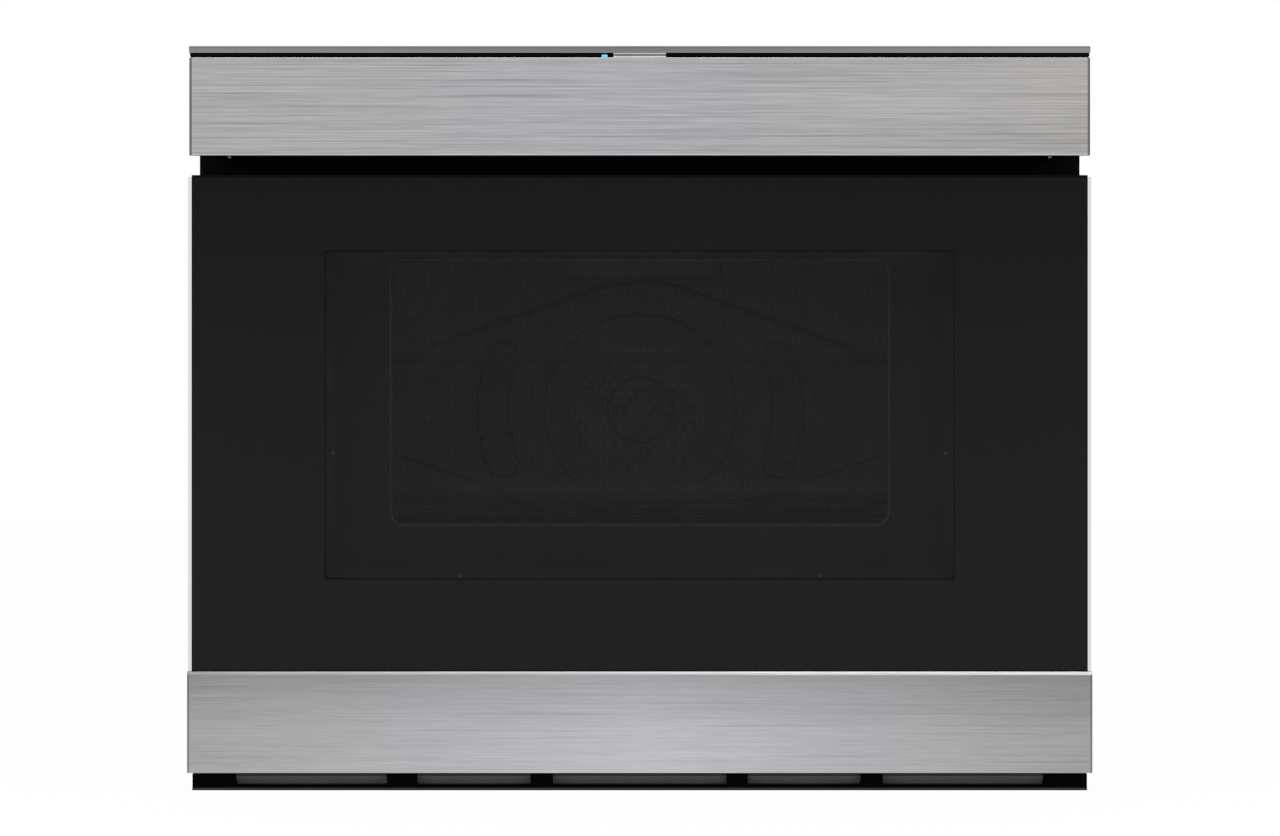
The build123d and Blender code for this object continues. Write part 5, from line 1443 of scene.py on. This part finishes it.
@dataclass
class Case:
    """The sheet-steel case with its screws, rivets, pressed beads and gland."""

    screw_radius: float = 3.6
    screw_height: float = 0.9
    rivet_radius: float = 2.2
    rivet_height: float = 1.0
    rivet_inset: float = 9.0
    rivet_count: int = 7
    bead_radius: float = 1.6
    bead_length: float = 340.0
    bead_pitch: float = 85.0
    bead_count: int = 4
    bead_inset: float = 50.0
    bead_low: float = 110.0

    def build(self) -> None:
        """Builds the case's pieces and dresses its nodes."""
        sheets = ("base_plate", "side_panel_left", "side_panel_right", "top_cover", "back_panel")
        zinc = dress(ZincSheet("zinc_steel_case"), *sheets)
        dress(Moulded("black_plastic_gland", (0.014, 0.014, 0.015)), "cord_gland")
        self._screws()
        metal = CastMetal("rivet_zinc", (0.50, 0.50, 0.51), 0.34).make()
        for name, side in SIDES:
            self._rivets(name, side, metal)
        for name, side in SIDES:
            self._beads(name, side, zinc)

    def _screws(self) -> None:
        """Builds the screws of the back panel in place of the plain heads."""
        low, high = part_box("case_screws")
        reach = self.screw_radius * MM
        columns = (low.x + reach, 0.0, high.x - reach)
        rows = (low.z + reach, (low.z + high.z) / 2, high.z - reach)
        y = low.y / MM + self.screw_height / 2
        # three by three without the one in the middle
        points = [(x / MM, y, z / MM) for x in columns for z in rows if x != 0.0 or z != rows[1]]
        metal = CastMetal("screw_zinc", (0.55, 0.55, 0.56), 0.28).make()
        heads = Fasteners("case_screw_heads", points, (0, 1, 0), self.screw_radius, self.screw_height)
        settle(heads.make(metal), Body.CASE, "zinc_steel", None, "case_screws")

    def _rivets(self, name: str, side: int, metal: Material) -> None:
        """Builds the two rows of rivets of one side panel.

        Args:
            name: left or right.
            side: -1 for the left panel, 1 for the right panel.
            metal: their finish.
        """
        low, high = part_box("side_panel_" + name)
        x = (low.x if side < 0 else high.x) / MM
        step = (high.y - low.y) / MM / (self.rivet_count + 1)
        points = []
        for number in range(self.rivet_count):
            y = low.y / MM + (number + 1) * step
            points += [(x, y, low.z / MM + self.rivet_inset), (x, y, high.z / MM - self.rivet_inset)]
        facing = (side, 0, 0)
        rivets = Fasteners(
            "side_rivets_" + name, points, facing, self.rivet_radius, self.rivet_height, Head.RIVET
        )
        settle(rivets.make(metal), Body.CASE, "zinc_steel")

    def _beads(self, name: str, side: int, zinc: Material) -> None:
        """Builds the pressed stiffening beads of one side panel.

        Args:
            name: left or right.
            side: -1 for the left panel, 1 for the right panel.
            zinc: their finish.
        """
        low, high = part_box("side_panel_" + name)
        x = low.x if side < 0 else high.x
        p = Pattern("side_beads_" + name)
        radius = p.size("Bead radius", self.bead_radius * MM)
        length = p.size("Bead length", self.bead_length * MM)
        pitch = p.size("Bead pitch", self.bead_pitch * MM)
        count = p.size("Beads", self.bead_count)
        start = p.size("First bead", (x, low.y + self.bead_inset * MM, low.z + self.bead_low * MM))
        end = p.vector(0.0, length, 0.0)
        path = p.node("GeometryNodeCurvePrimitiveLine", inputs={"Start": (0.0, 0.0, 0.0), "End": end})
        bar = p.swept(path, p.circle(radius, 12), capped=True)
        ball = p.ball(radius, 12)
        bead = p.join(bar, ball, p.moved(ball, Translation=end))
        spots = p.row(count, start, p.vector(0.0, 0.0, pitch))
        settle(p.run(p.repeated(bead, spots), zinc), Body.CASE, "zinc_steel")


@dataclass
class Oven:
    """The oven box with its rear wall, lamp, hot-air fan and the microwave source above it."""

    wall_y: float = 160.0
    fan_z: float = 255.0
    bead_radius: float = 1.6
    bead_sink: float = 0.7
    bead_sides: int = 6
    ring_radii: Tuple[float, float] = (73.0, 24.5)
    ring_steps: int = 72
    crease_radius: float = 2.8
    crease_sink: float = 1.4
    crease_sides: int = 10
    crown: Sequence[Tuple[float, float]] = (
        (-164.0, 301.0), (-27.0, 349.5), (0.0, 353.0), (27.0, 349.5), (164.0, 301.0)
    )
    foot: Sequence[Tuple[float, float]] = (
        (182.0, 220.0), (162.0, 213.0), (140.0, 205.5), (118.0, 198.5), (84.0, 189.0)
    )
    foot_share: float = 0.75
    slot_radius: float = 112.0
    slot_half_width: float = 12.0
    slot_half_angle: float = 21.0
    slot_steps: int = 12
    slot_end_steps: int = 8

    def build(self) -> None:
        """Builds the oven's pieces and dresses its nodes."""
        box = ("oven_floor", "oven_roof", "oven_wall_left", "oven_wall_right", "oven_rear_wall")
        dress(Enamel("oven_enamel_box", (0.43, 0.43, 0.432), 0.40, 0.08), *box)
        dress(ZincSheet("zinc_steel_oven", (0.44, 0.45, 0.46), 160.0), "oven_legs")
        dress(Enamel("oven_enamel_fan", (0.40, 0.40, 0.405), 0.4), "fan_housing")
        dress(Glow("clear_glass_lamp", (0.95, 0.90, 0.80), 2.0), "oven_lamp")
        dress(CastMetal("heater_steel_rod", (0.20, 0.17, 0.15), 0.4, 0.9, 0.35, 60.0), "ring_heater")
        can = CastMetal("motor_steel_can", (0.36, 0.37, 0.38), 0.32, 1.0, 0.12, (20.0, 20.0, 400.0))
        dress(can, "convection_motor", "stirrer_motor", "blower_motor", "drive_motor")
        sheet = CastMetal("cast_aluminium_sheet", (0.62, 0.63, 0.64), 0.3, 1.0, 0.1, (30.0, 500.0, 30.0))
        dress(sheet, "waveguide", "magnetron", "stirrer", "capacitor")
        blades = CastMetal("fan_steel", (0.80, 0.80, 0.805), 0.36, 0.85, 0.12, (30.0, 30.0, 300.0))
        dress(blades, "convection_fan")
        dress(Moulded("white_plastic_cover", (0.26, 0.26, 0.25), 0.5), "stirrer_cover")
        # the pressings' dark enamel is painted shade for the creases of the rear wall
        self._pressings(Enamel("pressings_enamel_painted_shade", (0.14, 0.14, 0.141), 0.6, 0.0, 0.2).make())

    def _pressings(self, enamel: Material) -> None:
        """Builds the pressed lines of the rear wall: two rings, the crown, the foot and the slots' rims.

        Args:
            enamel: their finish.
        """
        shape = Shape()
        for radius in self.ring_radii:
            turns = [FULL_TURN * step / self.ring_steps for step in range(self.ring_steps)]
            ring = [self._on_wall(radius * math.cos(turn), radius * math.sin(turn)) for turn in turns]
            shape.tube(ring, self.bead_radius, self.bead_sides, True)
        crease_y = self.wall_y + self.crease_sink
        shape.tube([(x, crease_y, z) for x, z in self.crown], self.crease_radius, self.crease_sides)
        for _, side in SIDES:
            line = [(side * x, crease_y, z) for x, z in self.foot]
            shape.tube(line, self.foot_share * self.crease_radius, self.crease_sides)
        for _, side in SIDES:
            shape.tube(self._slot_rim(side), self.bead_radius, self.bead_sides, True)
        settle(shape.finish("rear_wall_pressings", True), Body.CASE, "oven_enamel", enamel)

    def _on_wall(self, x: float, rise: float) -> Point:
        """A point of a bead's line on the rear wall, beside and above the fan's axis."""
        return x, self.wall_y + self.bead_sink, self.fan_z + rise

    def _slot_rim(self, side: int) -> List[Point]:
        """The closed line round one curved slot.

        Args:
            side: -1 for the left slot, 1 for the right slot.

        Returns:
            The points of the line.
        """
        width, angle = self.slot_half_width, self.slot_half_angle
        points: List[Point] = []
        for reach, first, last in ((width, -angle, angle), (-width, angle, -angle)):
            arc = self.slot_radius + reach
            for step in range(self.slot_steps + 1):
                turn = math.radians(first + (last - first) * step / self.slot_steps)
                points.append(self._on_wall(side * arc * math.cos(turn), arc * math.sin(turn)))
            end = math.radians(last)
            centre_x, centre_z = self.slot_radius * math.cos(end), self.slot_radius * math.sin(end)
            for step in range(1, self.slot_end_steps):
                away = end + math.pi * step / self.slot_end_steps + (0.0 if reach > 0 else math.pi)
                x = side * (centre_x + width * math.cos(away))
                points.append(self._on_wall(x, centre_z + width * math.sin(away)))
        return points


@dataclass
class Drawer:
    """The drawer behind its door: pan, ceramic floor, wire rack and runners."""

    def build(self) -> None:
        """Dresses the drawer's nodes."""
        tone = (0.45, 0.45, 0.46)
        pan = BrushedSteel("brushed_steel_pan", tone, tone, tone, contrast=0.06, roughness=0.38)
        dress(pan, "drawer_pan")
        dress(GlossBlack("ceramic_plate", (0.03, 0.03, 0.032), 0.16, 0.10), "ceramic_floor")
        dress(CastMetal("chrome_wire_rack", (0.15, 0.15, 0.152), 0.35, 1.0, 0.06), "wire_rack")
        zinc = ZincSheet("zinc_steel_runners", (0.52, 0.53, 0.54), 260.0)
        dress(zinc, "outer_runners", "middle_runners", "inner_runners", "drive_bracket")
        natural = Moulded("gear_plastic_natural", (0.72, 0.70, 0.64), 0.42, 900.0)
        dress(natural, "drive_rack", "gear_cluster", "motor_pinion")


@dataclass
class Works:
    """Boards, switches, transformer and blower inside the case."""

    board_top: float = 7.8
    core_half: float = 31.2

    def build(self) -> None:
        """Dresses the nodes of the works."""
        parts_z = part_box("control_board")[0].z + self.board_top * MM
        dress(CircuitBoard("board_control", "Z", parts_z), "control_board")
        low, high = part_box("transformer")
        core = Laminations("core_steel_transformer", (low.y + high.y) / 2, self.core_half * MM)
        dress(core, "transformer")
        black = Moulded("black_plastic_blower", (0.016, 0.016, 0.017), 0.48)
        dress(black, "blower_housing", "blower_wheel", "interlock_switches")


# ---------------------------------------------------------------- studio
@dataclass(frozen=True)
class Lamp:
    """A soft rectangular lamp that looks at a target, with its power in watts."""

    name: str
    place: Point
    target: Point
    width: float
    height: float
    power: float

    def build(self) -> None:
        """Adds it to the scene."""
        data = bpy.data.lights.new(self.name, "AREA")
        data.shape = "RECTANGLE"
        data.size = self.width
        data.size_y = self.height
        data.energy = self.power
        lamp = linked(self.name, data)
        lamp.location = self.place
        lamp.rotation_euler = (Vector(self.target) - Vector(self.place)).to_track_quat("-Z", "Y").to_euler()


FRONT_MIDDLE: Point = (0.0, -0.3, 0.25)


@dataclass
class Studio:
    """Floor, world, lamps and camera."""

    eye: Point = (0.0002, -3.82, 0.2492)
    lens: float = 147.14
    sensor: float = 36.0
    far_clip: float = 50.0
    floor_half: float = 9000.0
    floor_top: float = -0.5
    floor_bottom: float = -20.0
    floor_tone: Colour = (0.96, 0.96, 0.96)
    floor_share: float = 0.95
    world_level: float = 0.75
    lamps: Sequence[Lamp] = (
        Lamp("lamp_top", (0.0, -0.75, 2.3), FRONT_MIDDLE, 1.2, 1.2, 14.0),
        Lamp("lamp_left", (-2.2, -2.2, 1.3), FRONT_MIDDLE, 1.4, 1.4, 10.0),
        Lamp("lamp_right", (2.2, -2.2, 1.3), FRONT_MIDDLE, 1.4, 1.4, 9.5),
        Lamp("lamp_oven", (0.0, -0.255, 0.335), (0.0, 0.16, 0.245), 0.36, 0.05, 0.045),
    )

    def build(self) -> None:
        """Builds all of it."""
        self._camera()
        self._world()
        self._floor()
        for lamp in self.lamps:
            lamp.build()

    def _camera(self) -> None:
        """Sets the camera square to the front."""
        data = bpy.data.cameras.new("camera")
        data.lens = self.lens
        data.sensor_width = self.sensor
        data.clip_end = self.far_clip
        camera = linked("camera", data)
        camera.location = self.eye
        camera.rotation_euler = UPRIGHT
        bpy.context.scene.camera = camera

    @staticmethod
    def _seen(plan: NodePlan) -> Link:
        """Tells the rays that should meet a white background from those that light the object.

        Args:
            plan: the tree that takes the nodes.

        Returns:
            1 for rays from the camera and for those mirrored or let through by a surface, else 0.
        """
        path = plan.node("ShaderNodeLightPath", output="Is Camera Ray")
        outputs = path.socket.node.outputs
        mirrored = path.maths("MAXIMUM", Link(plan, outputs["Is Glossy Ray"]))
        return mirrored.maths("MAXIMUM", Link(plan, outputs["Is Transmission Ray"]))

    def _world(self) -> None:
        """Sets a white background, and a slightly lower soft light from all round."""
        world = bpy.data.worlds.new("studio")
        world.use_nodes = True
        bpy.context.scene.world = world
        tree = world.node_tree
        tree.nodes.clear()
        plan = NodePlan(tree)
        level = self._seen(plan) * (1.0 - self.world_level) + self.world_level
        light = plan.node("ShaderNodeBackground", inputs={"Color": (1.0, 1.0, 1.0, 1.0), "Strength": level})
        outlet = tree.nodes.new("ShaderNodeOutputWorld")
        plan.feed(outlet.inputs["Surface"], light)

    def _floor(self) -> None:
        """Builds the pale floor, which reads as white and keeps a soft shadow."""
        half = self.floor_half
        shape = Shape()
        shape.block((-half, -half, self.floor_bottom), (half, half, self.floor_top))
        floor = shape.finish("floor")
        f = Finish("floor_pale")
        f.set("Base Color", f.mix(f.noise(3.0), self.floor_tone, tinted(self.floor_tone, 0.99)))
        f.set("Roughness", 0.9)
        f.set("Specular IOR Level", 0.1)
        white = f.plan.node("ShaderNodeEmission", inputs={"Color": (1.0, 1.0, 1.0, 1.0), "Strength": 1.0})
        matt = Link(f.plan, f.shader.outputs[0])
        share = self._seen(f.plan) * self.floor_share
        both = f.plan.node("ShaderNodeMixShader", inputs={0: share, 1: matt, 2: white})
        f.plan.feed(f.outlet.inputs["Surface"], both)
        floor.data.materials.append(f.material)


def main() -> None:
    """Builds the studio and every sub-assembly."""
    logging.basicConfig(level=logging.INFO, format="%(message)s")
    bpy.context.scene.view_settings.view_transform = "Standard"
    for assembly in (Studio(), Front(), ControlPanel(), Door(), Drawer(), Oven(), Works(), Case()):
        log.info("sub-assembly %s", type(assembly).__name__)
        assembly.build()


if __name__ == "__main__":
    main()
